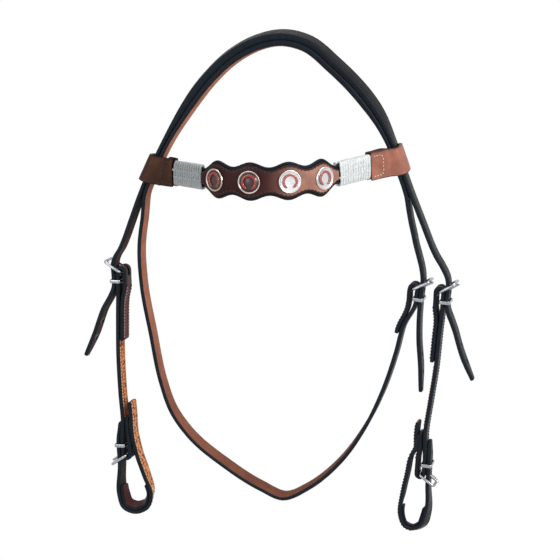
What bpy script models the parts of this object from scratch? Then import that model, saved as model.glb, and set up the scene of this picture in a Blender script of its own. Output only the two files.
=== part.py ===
# Western headstall: crown and throat straps, cheek straps, bit loops, buckles and a concho browband.
# Metres, +Z up. The browband faces -Y. The origin is the level face of the throat strap that rests on the poll.
import math

import bmesh
import bpy
from mathutils import Matrix, Vector

# Overall reach of the straps as they hang
SPAN = 0.180  # centre plane to the outer straps
DROP = 0.500  # poll to the lowest strap
BOW = 0.095  # how far the browband stands forward of the crown
FIT = 0.0003  # gap between pieces that touch
MERGE = 0.0001
SMOOTH_PARTS = 14  # steps between two given points of a smooth line
BEVEL_FROM = math.radians(50)
SHARP_FROM = math.radians(35)

# Straps
STRAP_WIDTH = 0.0175
STRAP_THICK = 0.0042
STRAP_TURN = math.radians(16)  # the straps hang turned this far from the browband's front
STRAP_EDGE = 0.0007
TIP_WIDTH = 0.0085
TIP_TAPER = 0.030
LONGEST_STEP = 0.012
CHEEK_STEP = 0.0075
TURN_STEP = math.radians(15)

# Buckles, their tongues and keepers
WIRE = 0.0015  # radius of the frame's wire
TONGUE_WIRE = 0.0012
TONGUE_REACH = 0.0018  # past the frame's far bar
PIN_GAP = 0.0002  # running gap of the tongue on its bar
FRAME_LENGTH = 0.0195
FRAME_CORNER = 0.0035
FRAME_SIDE_GAP = 0.0006
FRAME_TILT = math.radians(57)
TONGUE_SWING = math.radians(8)
KEEPER_DROP = 0.0105
KEEPER_BAND = 0.0011
KEEPER_LENGTH = 0.0036
KEEPER_GAP = 0.0005
STRAIGHT_RUN = 0.0155
PLY_JOIN = 0.018
PLY_GAP = 0.0005
HOLE_WIDTH = 0.0042
HOLE_LENGTH = 0.0080
FOLD_STEPS = 12
HOOK_STEPS = 10
HOOK_STEP = math.radians(28)
HOOK_FROM = math.radians(60)
CORNER_STEPS = 3

# Plies sewn back on themselves, and how far each runs from its fold
UPPER_PLY = 0.078
LOWER_PLY = 0.050
BIT_SEWN = 0.062
BIT_TAIL = 0.042
THROAT_PLY = 0.055
BIT_LOOP_STEP = 0.0045
BIT_LOOP_HEIGHT = 0.045
BIT_LOOP_TWIST = math.radians(20)
THROAT_TWIST = math.radians(8)
LINER_THICK = 0.0024
LINER_WIDTH = 0.0140
LINER_HEIGHT = 0.030
PAIR_SPACING = 0.0045  # middle to middle of the crown and throat straps in the browband's loops
SPLAY_SPACING = 0.0072
CROWN_SPLAY = math.radians(14)
POLL_FLAT = 0.0065  # half the level stretch that rests on the poll
POLL_CENTRE = Vector((0, 0, -DROP / 2))

# Browband
BAND_RADIUS = 0.072
BAND_DIP = 0.0040
BAND_TILT_SHARE = 0.017  # rise per length from its left end to its right
BAND_THICK = 0.0032
BAND_END_WIDTH = 0.0184
LOBE_WIDTH = 0.0380
NECK_WIDTH = 0.0280
LOBE_PITCH = 0.0376
LOBE_END = 0.0210
COVER_THICK = 0.0020
COVER_MARGIN = 0.0030
BAND_STEP = 0.0042
LOOP_WIDTH = 0.0290
LOOP_THICK = 0.0028
LOOP_ROOM = 0.0008
LOOP_PULL = 0.0020  # the band draws its loops forward onto the straps' back edges
LOOP_NECK = 0.0090  # from the loop's front to the band's end
LAP_STEP = 0.0080
LAP_BARE = 0.0065  # the loop's plies meet before the band starts between them
LACE_WIRE = 0.00135
LACE_LENGTH = 0.046
LACE_LOOPS = 12
LACE_POINTS = 14  # points of each turn
LACE_SQUARE = 0.35
LACE_EASE = 0.0010
LOOP_SQUARE = 4
LOOP_STEPS = 24
LOOP_LEAN = 0.6
BOW_STEPS = 8

# Conchos
CONCHO_RADIUS = 0.0115
CONCHO_DISH = 0.0014
CONCHO_RIM = 0.0012
SHOE_RADIUS = 0.0066
SHOE_WIDTH = 0.0025
SHOE_RAISE = 0.0008
SHOE_OPEN = math.radians(28)
SCREW_RADIUS = 0.0022
SCREW_HEAD = 0.0048
SCREW_HEAD_THICK = 0.0012
BORE_LENGTH = 0.012
CONCHOS = 4
MIDDLE = (CONCHOS - 1) / 2
SHOE_STEPS = 16
TURN_SIDES = 24

# Routes, as shares of SPAN across and of DROP upwards, read from the object as it hangs
LEFT_TAIL_SHARES = [(-1.033, -0.546), (-1.085, -0.598), (-1.146, -0.645)]
RIGHT_TAIL_SHARES = [(1.020, -0.583), (1.068, -0.640), (1.135, -0.699)]
CROWN_SHARES = [
    (-0.913, -0.407), (-0.851, -0.348), (-0.799, -0.298), (-0.744, -0.252), (-0.689, -0.211),
    (-0.616, -0.160), (-0.530, -0.109), (-0.420, -0.058), (-0.282, -0.012), (-0.136, 0.016),
    (0.017, 0.026), (0.153, 0.014), (0.308, -0.030), (0.459, -0.084), (0.568, -0.136),
    (0.651, -0.197), (0.712, -0.256), (0.760, -0.302), (0.826, -0.361), (0.885, -0.414),
]
THROAT_RIGHT_SHARES = [(0.784, -0.399), (0.752, -0.348)]
THROAT_SHARES = [
    (-0.785, -0.344), (-0.807, -0.404), (-0.799, -0.489), (-0.752, -0.593), (-0.692, -0.707),
    (-0.641, -0.762), (-0.536, -0.819), (-0.329, -0.885), (-0.114, -0.937), (0.024, -0.959),
    (0.168, -0.937), (0.341, -0.885), (0.512, -0.797), (0.610, -0.720), (0.685, -0.635),
    (0.726, -0.577),
]
THROAT_TAIL_SHARES = [(0.816, -0.614), (0.828, -0.666), (0.830, -0.725)]
CHEEK_SHARES = {
    "left": [(-0.941, -0.562), (-0.944, -0.645), (-0.937, -0.724), (-0.926, -0.798)],
    "right": [(0.936, -0.598), (0.918, -0.676), (0.890, -0.750), (0.865, -0.819)],
}
BIT_LOOP_SHARES = {
    "left": [
        (-0.860, -0.843), (-0.848, -0.862), (-0.806, -0.910), (-0.776, -0.955), (-0.801, -0.978),
        (-0.862, -0.987), (-0.924, -0.978), (-0.949, -0.954),
    ],
    "right": [
        (0.782, -0.869), (0.764, -0.904), (0.738, -0.950), (0.721, -1.002), (0.744, -1.025),
        (0.801, -1.034), (0.858, -1.025), (0.881, -1.002),
    ],
}
LOOP_HEIGHT_SHARES = {"left": -0.247, "right": -0.228}
APEX_SHARE = -0.062
SPLAY_FROM_SHARE = -0.21
SPLAY_TO_SHARE = -0.10
THROAT_TWIST_FROM_SHARE = -0.70
THROAT_TWIST_OVER_SHARE = 0.20
UNDER_CROWN_SHARE = -0.285

# Where each buckle's heel bar lies, the way the strap's free end runs, and the way it faces
BUCKLE_SHARES = {
    "left_cheek": (-0.918, -0.461, (0.02, -1), -1),
    "right_cheek": (0.933, -0.505, (-0.04, -1), 1),
    "throat": (0.781, -0.498, (-0.10, -1), 1),
    "left_bit": (-0.908, -0.862, (-0.05, 1), -1),
    "right_bit": (0.841, -0.905, (0.05, 1), 1),
}

LEATHER_DARK = (0.018, 0.014, 0.013, 1)
LEATHER_BROWN = (0.12, 0.045, 0.022, 1)
LEATHER_TAN = (0.36, 0.13, 0.05, 1)
RAWHIDE = (0.62, 0.60, 0.54, 1)
STEEL = (0.62, 0.62, 0.62, 1)
SILVER = (0.66, 0.62, 0.56, 1)
ENAMEL = (0.28, 0.02, 0.02, 1)

for old in list(bpy.data.objects):
    bpy.data.objects.remove(old)
headstall = bpy.data.collections.new("headstall")
cutters = bpy.data.collections.new("cutters")
cutters.hide_render = True
for group in (headstall, cutters):
    bpy.context.scene.collection.children.link(group)


def material(name, colour, roughness, metallic=0):
    made = bpy.data.materials.new(name)
    made.use_nodes = True
    shader = made.node_tree.nodes["Principled BSDF"]
    shader.inputs["Base Color"].default_value = colour
    shader.inputs["Roughness"].default_value = roughness
    shader.inputs["Metallic"].default_value = metallic
    return made


def finish(obj, colour, roughness, metallic=0, group=headstall):
    """Links an object under its own material, shaded smooth between its sharp edges."""
    if obj.name not in group.objects:
        group.objects.link(obj)
    obj.data.materials.clear()
    obj.data.materials.append(material(obj.name + "_finish", colour, roughness, metallic))
    if obj.type == "MESH":
        obj.data.shade_smooth()
        obj.data.set_sharp_from_angle(angle=SHARP_FROM)
    return obj


def mesh_object(name, bm):
    mesh = bpy.data.meshes.new(name)
    bmesh.ops.recalc_face_normals(bm, faces=bm.faces)
    bm.to_mesh(mesh)
    bm.free()
    return bpy.data.objects.new(name, mesh)


hang = Matrix.Rotation(STRAP_TURN, 3, "Z")


def place(share_x, share_z, share_y=0):
    """A point of the hanging headstall, in the frame whose Y is the straps' width."""
    return hang @ Vector((share_x * SPAN, share_y * BOW, share_z * DROP))


def smooth(points, parts=SMOOTH_PARTS):
    """A dense smooth line through the points, even where they lie unevenly."""
    ends = [points[0] * 2 - points[1]] + list(points) + [points[-1] * 2 - points[-2]]
    line = []
    for before, start, end, after in zip(ends, ends[1:], ends[2:], ends[3:]):
        span = (end - start).length
        lead = (start - before).length
        trail = (after - end).length
        slope_in = ((start - before) / lead * span + (end - start) / span * lead) / (lead + span)
        slope_out = ((end - start) / span * trail + (after - end) / trail * span) / (span + trail)
        for part in range(parts):
            t = part / parts
            line.append(
                start * (2 * t**3 - 3 * t**2 + 1)
                + end * (3 * t**2 - 2 * t**3)
                + slope_in * span * (t**3 - 2 * t**2 + t)
                + slope_out * span * (t**3 - t**2)
            )
    return line + [Vector(points[-1])]


def thinned(line, longest=LONGEST_STEP):
    """Fewer points: one for each step of length, and more where the line turns."""
    kept = [line[0], line[1]]
    turned = 0
    for before, here, after in zip(line[1:], line[2:], line[3:]):
        turned += (here - before).angle(after - here, 0)
        if turned > TURN_STEP or (here - kept[-1]).length > longest:
            kept.append(here)
            turned = 0
    return kept[:1] + kept[2:] + [line[-1]]


def tangents(line):
    return [
        (after - before).normalized()
        for before, after in zip([line[0]] + line[:-1], line[1:] + [line[-1]])
    ]


def depth_widths(line, twists=None):
    """The strap's width direction at each point: the depth axis, turned about the strap by the twist there."""
    widths = []
    for along, twist in zip(tangents(line), twists or [0] * len(line)):
        across = (Vector((0, 1, 0)) - along * along.y).normalized()
        widths.append(Matrix.Rotation(twist, 3, along) @ across)
    return widths


def strap(name, line, widths, thick, size, colour, edge=STRAP_EDGE):
    """A flat strap along the line: a ribbon of the given width at each point, made thick with eased edges."""
    bm = bmesh.new()
    first = [bm.verts.new(line[0] + widths[0] * side * size(0) / 2) for side in (-1, 1)]
    rung = bm.edges.new(first)
    walked = 0
    for index in range(1, len(line)):
        walked += (line[index] - line[index - 1]).length
        made = bmesh.ops.extrude_edge_only(bm, edges=[rung])["geom"]
        rung = next(item for item in made if isinstance(item, bmesh.types.BMEdge)
                    and all(vert in made for vert in item.verts))
        ends = sorted(rung.verts, key=lambda vert: (vert.co - line[index - 1]).dot(widths[index - 1]))
        for side, vert in zip((-1, 1), ends):
            vert.co = line[index] + widths[index] * side * size(walked) / 2
    obj = mesh_object(name, bm)
    solid = obj.modifiers.new("thickness", "SOLIDIFY")
    solid.thickness = thick
    solid.offset = 0
    solid.use_even_offset = True
    if edge:
        ease = obj.modifiers.new("eased_edges", "BEVEL")
        ease.width = edge
        ease.segments = 1
        ease.limit_method = "ANGLE"
        ease.angle_limit = BEVEL_FROM
    return finish(obj, colour, 0.5)


def length_of(line):
    return sum((after - before).length for before, after in zip(line, line[1:]))


def even_width(_walked):
    return STRAP_WIDTH


def tapered(total, first_end, last_end):
    """Full width along the strap, drawn in towards each end that is a billet's tip."""

    def size(walked):
        near = TIP_TAPER
        if first_end:
            near = min(near, walked)
        if last_end:
            near = min(near, total - walked)
        return TIP_WIDTH + (STRAP_WIDTH - TIP_WIDTH) * math.sin(near / TIP_TAPER * math.pi / 2)

    return size


def cut(obj, cutter):
    cutter.display_type = "WIRE"
    cutter.hide_render = True
    if cutter.name not in cutters.objects:
        cutters.objects.link(cutter)
    boolean = obj.modifiers.new(cutter.name, "BOOLEAN")
    boolean.operation = "DIFFERENCE"
    boolean.object = cutter


def box(name, size, matrix):
    bm = bmesh.new()
    bmesh.ops.create_cube(bm, size=1)
    bmesh.ops.scale(bm, vec=size, verts=bm.verts)
    bmesh.ops.transform(bm, matrix=matrix, verts=bm.verts)
    return mesh_object(name, bm)


# Each buckle works in its own plane: heel bar at zero, free end along the run, billet on the outer side
HEEL_RADIUS = WIRE + FIT + STRAP_THICK / 2
BILLET_OUT = HEEL_RADIUS + STRAP_THICK + PLY_GAP
FRAME_HALF = STRAP_WIDTH / 2 + FRAME_SIDE_GAP + WIRE


class Buckle:
    def __init__(self, name):
        share_x, share_z, run, side = BUCKLE_SHARES[name]
        self.name = name
        self.heel = place(share_x, share_z)
        self.run = Vector((run[0], 0, run[1])).normalized()
        self.out = Vector((self.run.z, 0, -self.run.x))
        if self.out.x * side < 0:
            self.out.negate()

    def at(self, run, out, depth=0):
        return self.heel + self.run * run + self.out * out + Vector((0, depth, 0))

    def arc(self):
        """The strap's turn round the heel bar, from the inner ply to the outer one."""
        turns = [math.pi * step / FOLD_STEPS for step in range(FOLD_STEPS + 1)]
        return [
            self.at(-HEEL_RADIUS * math.sin(turn), -HEEL_RADIUS * math.cos(turn)) for turn in turns
        ]

    def outer_ply(self):
        return [self.at(run, HEEL_RADIUS) for run in (0, STRAIGHT_RUN / 2, STRAIGHT_RUN)]

    def billet(self):
        """The free strap's straight run over the heel bar, from the frame's side to past the keeper."""
        return [self.at(run, BILLET_OUT) for run in (-HOLE_LENGTH, 0, STRAIGHT_RUN)]

    def matrix(self, origin=None):
        """Columns: out, depth, run."""
        made = Matrix((self.out, (0, 1, 0), self.run)).transposed().to_4x4()
        if made.determinant() < 0:
            made = Matrix((self.out, (0, -1, 0), self.run)).transposed().to_4x4()
        return Matrix.Translation(origin or self.heel) @ made

    def frame_way(self):
        return self.out * math.sin(FRAME_TILT) - self.run * math.cos(FRAME_TILT)


buckles = {name: Buckle(name) for name in BUCKLE_SHARES}


def tube(name, points, radius, colour, closed=False, sides=1, metallic=1):
    curve = bpy.data.curves.new(name, "CURVE")
    curve.dimensions = "3D"
    curve.bevel_depth = radius
    curve.bevel_resolution = sides
    curve.use_fill_caps = True
    spline = curve.splines.new("POLY")
    spline.points.add(len(points) - 1)
    for spot, point in zip(spline.points, points):
        spot.co = (*point, 1)
    spline.use_cyclic_u = closed
    return finish(bpy.data.objects.new(name, curve), colour, 0.3, metallic)


def settled(obj, matrix):
    """The same object with its origin and axes moved to the matrix, as a joint needs."""
    obj.data.transform(matrix.inverted())
    obj.matrix_world = matrix
    return obj


def buckle_frame(buckle):
    """A closed wire loop: heel bar, two sides and the far bar, with rounded corners."""
    way = buckle.frame_way()
    outline = frame_outline(FRAME_LENGTH - FRAME_CORNER, FRAME_HALF - FRAME_CORNER)
    points = [buckle.heel + way * along + Vector((0, across, 0)) for along, across in outline]
    return tube(f"{buckle.name}_buckle_frame", points, WIRE, STEEL, closed=True)


def frame_outline(far, side):
    """Corner arcs of the frame, as distances from the heel bar's axis and across it."""
    corners = ((far, side, 0), (FRAME_CORNER, side, 1), (FRAME_CORNER, -side, 2), (far, -side, 3))
    points = []
    for along, across, quarter in corners:
        for step in range(CORNER_STEPS + 1):
            turn = math.pi / 2 * (quarter + step / CORNER_STEPS)
            points.append((
                along + FRAME_CORNER * math.cos(turn),
                across + FRAME_CORNER * math.sin(turn),
            ))
    return points


def buckle_tongue(buckle):
    """A wire hooked round the heel bar, lying on the frame's far bar through the billet's hole."""
    way = buckle.frame_way()
    lift = buckle.out * math.cos(FRAME_TILT) + buckle.run * math.sin(FRAME_TILT)
    ring = WIRE + PIN_GAP + TONGUE_WIRE
    rise = WIRE + FIT + TONGUE_WIRE
    turns = [HOOK_FROM - HOOK_STEP * step for step in range(HOOK_STEPS, 0, -1)]
    points = [
        buckle.heel + way * ring * math.cos(turn) + lift * ring * math.sin(turn) for turn in turns
    ]
    points.append(buckle.heel + way * ring + lift * rise)
    points.append(buckle.heel + way * (FRAME_LENGTH + TONGUE_REACH) + lift * rise)
    return settled(tube(f"{buckle.name}_buckle_tongue", points, TONGUE_WIRE, STEEL), buckle.matrix())


def keeper(buckle):
    """A flat metal loop round the billet and the outer ply."""
    inner = HEEL_RADIUS - STRAP_THICK / 2 - KEEPER_GAP
    outer = BILLET_OUT + STRAP_THICK / 2 + KEEPER_GAP
    half = STRAP_WIDTH / 2 + KEEPER_GAP
    middle = Matrix.Translation(((inner + outer) / 2, 0, KEEPER_DROP))
    frame = buckle.matrix() @ middle
    wall = KEEPER_BAND * 2
    obj = box(f"{buckle.name}_keeper",
              (outer - inner + wall, half * 2 + wall, KEEPER_LENGTH), frame)
    hole = box(f"{buckle.name}_keeper_hole",
               (outer - inner, half * 2, KEEPER_LENGTH * 2), frame)
    cut(obj, hole)
    return settled(finish(obj, STEEL, 0.3, 1), frame)


def crossing(tilt):
    """How far along the run a tongue at this tilt crosses the billet's middle."""
    rise = WIRE + FIT + TONGUE_WIRE
    reach = (BILLET_OUT - rise * math.cos(tilt)) / math.sin(tilt)
    return rise * math.sin(tilt) - reach * math.cos(tilt)


def punch(obj, buckle, label):
    """The billet's hole for the tongue, long enough for its swing."""
    run = (crossing(FRAME_TILT) + crossing(FRAME_TILT + TONGUE_SWING)) / 2
    size = (STRAP_THICK * 2, HOLE_WIDTH, HOLE_LENGTH)
    cut(obj, box(f"{label}_hole", size, buckle.matrix(buckle.at(run, BILLET_OUT))))


def slot_fold(obj, buckle):
    """The fold's slot, which lets the tongue round the heel bar."""
    reach = HEEL_RADIUS + STRAP_THICK
    below = WIRE + PIN_GAP + TONGUE_WIRE * 2 + FIT * 2
    size = (reach * 2, HOLE_WIDTH, reach + below)
    middle = buckle.matrix(buckle.at((below - reach) / 2, 0))
    cut(obj, box(f"{obj.name}_{buckle.name}_slot", size, middle))


def eased(share):
    share = min(max(share, 0), 1)
    return share * share * (3 - 2 * share)


def offset(line, out, distance, until):
    """The line moved along its own normal, by a distance that may change as it is walked.
    A point that would run back on the last one is left out, as in a tight bend."""
    moved = []
    walked = 0
    normal = out
    for index, (point, along) in enumerate(zip(line, tangents(line))):
        if index:
            walked += (point - line[index - 1]).length
        if walked > until:
            break
        turned = Vector((along.z, 0, -along.x)).normalized()
        normal = turned if turned.dot(normal) > 0 else -turned
        spot = point + normal * distance(walked)
        if not moved or (spot - moved[-1]).dot(along) > FIT:
            moved.append(spot)
    return moved


def ply(line, buckle, layers, until):
    """A ply under the strap's outer one: open round the keeper, then close against its neighbour."""
    near = HEEL_RADIUS * 2 + (layers - 1) * (STRAP_THICK + PLY_GAP)
    far = layers * (STRAP_THICK + PLY_GAP)

    def distance(walked):
        return -(near + (far - near) * eased((walked - STRAIGHT_RUN) / PLY_JOIN))

    return offset(line, buckle.out, distance, until)


def crown_line():
    """The crown strap's middle line, from its left tip over the poll to its right tip."""
    route = [place(*share) for share in reversed(LEFT_TAIL_SHARES)]
    route += list(reversed(buckles["left_cheek"].billet()))
    route += [place(*share) for share in CROWN_SHARES]
    route += buckles["right_cheek"].billet()
    route += [place(*share) for share in RIGHT_TAIL_SHARES]
    return smooth(route)


def over_poll(point):
    """Zero at the browband and below it, one at the poll, where the two straps splay."""
    return eased((point.z / DROP - SPLAY_FROM_SHARE) / (SPLAY_TO_SHARE - SPLAY_FROM_SHARE))


def crown_strap():
    line = thinned(crown_line())
    widths = depth_widths(line, [CROWN_SPLAY * over_poll(point) for point in line])
    obj = strap("crown_strap", line, widths, STRAP_THICK,
                tapered(length_of(line), True, True), LEATHER_DARK)
    for side in ("left_cheek", "right_cheek"):
        punch(obj, buckles[side], f"crown_{side}")
    return obj


def under_crown():
    """The throat strap's stretch under the crown strap, from the right browband loop to the left one."""
    stretch = [point for point in reversed(crown_line()) if point.z > UNDER_CROWN_SHARE * DROP]

    def distance(index):
        return -(PAIR_SPACING + (SPLAY_SPACING - PAIR_SPACING) * over_poll(stretch[index]))

    moved = []
    for index, (point, along) in enumerate(zip(stretch, tangents(stretch))):
        outward = Vector((-along.z, 0, along.x)).normalized()
        if outward.dot(point - POLL_CENTRE) < 0:
            outward.negate()
        moved.append(point + outward * distance(index))
    return moved


def throat_line():
    buckle = buckles["throat"]
    start = [place(*share) for share in reversed(THROAT_TAIL_SHARES)]
    start += list(reversed(buckle.billet()))
    start += [place(*share) for share in THROAT_RIGHT_SHARES]
    upper = under_crown()
    rest = upper[-2:] + [place(*share) for share in THROAT_SHARES]
    rest += list(reversed(buckle.outer_ply()))
    ahead = smooth(start + upper[:2])
    return ahead[:-SMOOTH_PARTS - 1] + upper[1:-1] + smooth(rest)[SMOOTH_PARTS + 1:]


def levelled(line):
    """The line with one level stretch at its highest point, where it rests on the poll."""
    top = max(line, key=lambda point: point.z)
    ends = [top + hang @ Vector((POLL_FLAT * side, 0, 0)) for side in (1, -1)]
    before = [point for point in line[:line.index(top)] if (point - top).length > POLL_FLAT * 2]
    after = [point for point in line[line.index(top):] if (point - top).length > POLL_FLAT * 2]
    return before + ends + after


def throat_strap():
    buckle = buckles["throat"]
    line = throat_line()
    folded = ply(list(reversed(line)), buckle, 1, THROAT_PLY)
    line = levelled(thinned(line + list(reversed(buckle.arc()))[1:] + folded[1:]))
    twists = [THROAT_TWIST * eased((THROAT_TWIST_FROM_SHARE - point.z / DROP) / THROAT_TWIST_OVER_SHARE)
              for point in line]
    top = max(point.z for point in line)
    widths = [
        hang @ Vector((0, 1, 0)) if top - point.z < FIT else width
        for point, width in zip(line, depth_widths(line, twists))
    ]
    obj = strap("throat_strap", line, widths, STRAP_THICK,
                tapered(length_of(line), True, False), LEATHER_DARK)
    punch(obj, buckle, "throat_billet")
    slot_fold(obj, buckle)
    return obj


def cheek_line(side):
    """The cheek strap's outer ply, from the cheek buckle down to the bit buckle."""
    route = buckles[f"{side}_cheek"].outer_ply()
    route += [place(*share) for share in CHEEK_SHARES[side]]
    route += list(reversed(buckles[f"{side}_bit"].outer_ply()))
    return thinned(smooth(route), CHEEK_STEP)


def cheek_strap(side):
    upper = buckles[f"{side}_cheek"]
    lower = buckles[f"{side}_bit"]
    main = cheek_line(side)
    top = ply(main, upper, 1, UPPER_PLY)
    bottom = ply(list(reversed(main)), lower, 1, LOWER_PLY)
    line = list(reversed(top)) + upper.arc()[1:] + main[1:-1]
    line += list(reversed(lower.arc())) + bottom[1:]
    obj = strap(f"{side}_cheek_strap", line, depth_widths(line), STRAP_THICK, even_width,
                LEATHER_BROWN)
    slot_fold(obj, upper)
    slot_fold(obj, lower)
    return obj


def sewn_tail(line):
    """How many points from the fold the bit strap leaves its ply."""
    walked = 0
    for index, (before, after) in enumerate(zip(line, line[1:])):
        walked += (after - before).length
        if walked > STRAIGHT_RUN + PLY_JOIN / 2:
            return index + 1
    return 1


def bit_strap(side):
    """The loop that holds the bit ring, with a second ply round its bottom, where the ring bears."""
    buckle = buckles[f"{side}_bit"]
    main = list(reversed(cheek_line(side)))
    sewn = list(reversed(ply(main, buckle, 2, BIT_SEWN)))
    sewn = sewn[:-sewn_tail(main)]
    tail = offset(main, buckle.out, lambda walked: STRAP_THICK + PLY_GAP, BIT_TAIL)
    bottom = [place(*share) for share in BIT_LOOP_SHARES[side]]
    lower = smooth(sewn[-2:] + bottom + buckle.billet()[:2])
    line = sewn[:-2] + thinned(lower, BIT_LOOP_STEP) + tail[1:]
    lowest = min(point.z for point in line)
    twists = [-BIT_LOOP_TWIST * (1 - eased((point.z - lowest) / BIT_LOOP_HEIGHT)) for point in line]
    widths = depth_widths(line, twists)
    obj = strap(f"{side}_bit_strap", line, widths, STRAP_THICK,
                tapered(length_of(line), False, True), LEATHER_TAN)
    punch(obj, buckle, f"{side}_bit_billet")
    inside, liner_widths = [], []
    lift = (STRAP_THICK + LINER_THICK) / 2 + PLY_GAP
    for point, along, width in zip(line, tangents(line), widths):
        if point.z > lowest + LINER_HEIGHT:
            continue
        normal = along.cross(width)
        if not inside:
            lift *= 1 if (normal.x > 0) == (side == "right") else -1
        inside.append(point + normal * lift)
        liner_widths.append(width)
    return strap(f"{side}_bit_liner", inside, liner_widths, LINER_THICK,
                 lambda walked: LINER_WIDTH, LEATHER_BROWN)


# The browband
def pair_centre(side):
    """The middle of the two straps inside a browband loop, and the straps' direction there."""
    height = LOOP_HEIGHT_SHARES[side] * DROP
    line = [point for point in crown_line() if (point.x > 0) == (side == "right")]
    index = min(range(1, len(line) - 1), key=lambda spot: abs(line[spot].z - height))
    along = (line[index + 1] - line[index - 1]).normalized()
    if along.z < 0:
        along.negate()
    inward = Vector((along.z, 0, -along.x)).normalized() * (-1 if side == "right" else 1)
    return line[index] + inward * PAIR_SPACING / 2, along


def band_line():
    """The browband's middle line: a round bow in front, with flanks back to the crown straps."""
    left, _ = pair_centre("left")
    right, _ = pair_centre("right")
    level = (left.z + right.z) / 2 - BAND_DIP
    apex = place(APEX_SHARE, level / DROP, -1)
    bow = []
    for step in range(-BOW_STEPS, BOW_STEPS + 1):
        turn = LOBE_PITCH * MIDDLE / BAND_RADIUS * step / BOW_STEPS
        step_way = Vector((math.sin(turn), 1 - math.cos(turn), BAND_TILT_SHARE * math.sin(turn)))
        bow.append(apex + hang @ step_way * BAND_RADIUS)
    return left, bow, right


def band_core():
    """The band's dense line from one loop to the other, with its walked lengths and its bow's middle."""
    left, bow, right = band_line()
    stand = STRAP_WIDTH / 2 + LOOP_ROOM + LOOP_NECK
    ends = []
    for anchor, near in ((left, bow[0]), (right, bow[-1])):
        way = (near - anchor).normalized()
        ends.append(anchor + way * stand)
    flanks = [ends[0].lerp(bow[0], 0.5), ends[1].lerp(bow[-1], 0.5)]
    line = smooth([ends[0], flanks[0]] + bow + [flanks[1], ends[1]], BOW_STEPS)
    walked = [0]
    for before, after in zip(line, line[1:]):
        walked.append(walked[-1] + (after - before).length)
    middle = min(range(len(line)), key=lambda spot: (line[spot] - bow[BOW_STEPS]).length)
    return line, walked, walked[middle]


def band_normals(line):
    """The outward face direction and the upward width direction at each point."""
    normals = []
    for along in tangents(line):
        face = Vector((along.y, -along.x, 0)).normalized()
        normals.append((face, along.cross(face) * -1))
    return normals


def resampled(line, walked, start, stop, step):
    """Evenly spaced points between two walked lengths."""
    count = max(2, round((stop - start) / step))
    points = []
    for index in range(count + 1):
        want = start + (stop - start) * index / count
        spot = next((at for at in range(1, len(line)) if walked[at] >= want), len(line) - 1)
        share = (want - walked[spot - 1]) / max(walked[spot] - walked[spot - 1], FIT / 100)
        points.append(line[spot - 1].lerp(line[spot], min(max(share, 0), 1)))
    return points


def lobe_width(from_middle):
    """The scalloped outline: widest at each concho, drawn in between, and narrow past the last one."""
    reach = LOBE_PITCH * MIDDLE
    wave = math.cos(2 * math.pi * (from_middle / LOBE_PITCH + 0.5))
    mean = (LOBE_WIDTH + NECK_WIDTH) / 2
    width = mean + (LOBE_WIDTH - NECK_WIDTH) / 2 * wave
    past = abs(from_middle) - reach
    if past > 0:
        width = BAND_END_WIDTH + (LOBE_WIDTH - BAND_END_WIDTH) * (1 - eased(past / LOBE_END))
    return width


def browband():
    line, walked, middle = band_core()
    half = LOBE_PITCH * MIDDLE + LOBE_END
    plain = resampled(line, walked, LAP_BARE, middle - half, BAND_STEP * 2)
    lobes = resampled(line, walked, middle - half, middle + half, BAND_STEP)
    plain_end = resampled(line, walked, middle + half, walked[-1] - LAP_BARE, BAND_STEP * 2)
    base_line = plain + lobes[1:] + plain_end[1:]
    start = length_of(plain) + half
    base_widths = [up for _, up in band_normals(base_line)]
    base = strap("browband_base", base_line, base_widths, BAND_THICK,
                 lambda along: lobe_width(along - start), LEATHER_DARK)
    lift = (BAND_THICK + COVER_THICK) / 2 + FIT
    cover_line = [point + face * lift for point, (face, _) in zip(lobes, band_normals(lobes))]
    stretch = length_of(cover_line) / (half * 2)
    cover_widths = [up for _, up in band_normals(cover_line)]
    cover = strap("browband_cover", cover_line, cover_widths, COVER_THICK,
                  lambda along: lobe_width(along / stretch - half) - COVER_MARGIN * 2, LEATHER_BROWN)
    concho_spots = []
    for number in range(CONCHOS):
        where = middle + LOBE_PITCH * (number - MIDDLE)
        spot = resampled(line, walked, where - BAND_STEP, where + BAND_STEP, BAND_STEP)
        face, up = band_normals(spot)[1]
        under = resampled(line, walked, where - CONCHO_RADIUS, where + CONCHO_RADIUS, BAND_STEP)
        proud = max(0, *[face.dot(near - spot[1]) for near in under])
        concho_spots.append((spot[1], face, up, BAND_THICK / 2 + COVER_THICK + FIT + proud))
    for number, (point, face, up, front) in enumerate(concho_spots):
        concho(number + 1, point + face * (front + FIT), face, up)
        concho_screw(number + 1, point, face, up, front, (base, cover))
    for side, start_at, stop_at in (
        ("left", middle - half - LACE_LENGTH, middle - half),
        ("right", middle + half, middle + half + LACE_LENGTH),
    ):
        wound = resampled(line, walked, start_at + LACE_WIRE, stop_at - LACE_WIRE, BAND_STEP / 2)
        lace(side, wound)
        if side == "left":
            lap = resampled(line, walked, 0, start_at - FIT, LAP_STEP)
        else:
            lap = list(reversed(resampled(line, walked, stop_at + FIT, walked[-1], LAP_STEP)))
        loop_end(side, lap)


def turned(name, profile, matrix, colour, roughness, metallic=1, sides=None):
    """A shape turned about its own Z from a profile of radius and height, run from top to bottom."""
    bm = bmesh.new()
    spots = [bm.verts.new((radius, 0, height)) for radius, height in profile]
    for first, second in zip(spots, spots[1:]):
        bm.edges.new((first, second))
    mesh = bpy.data.meshes.new(name)
    bm.to_mesh(mesh)
    bm.free()
    obj = bpy.data.objects.new(name, mesh)
    obj.matrix_world = matrix
    screw = obj.modifiers.new("turn", "SCREW")
    screw.steps = screw.render_steps = sides or TURN_SIDES
    screw.use_merge_vertices = True
    screw.merge_threshold = MERGE
    return finish(obj, colour, roughness, metallic)


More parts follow.
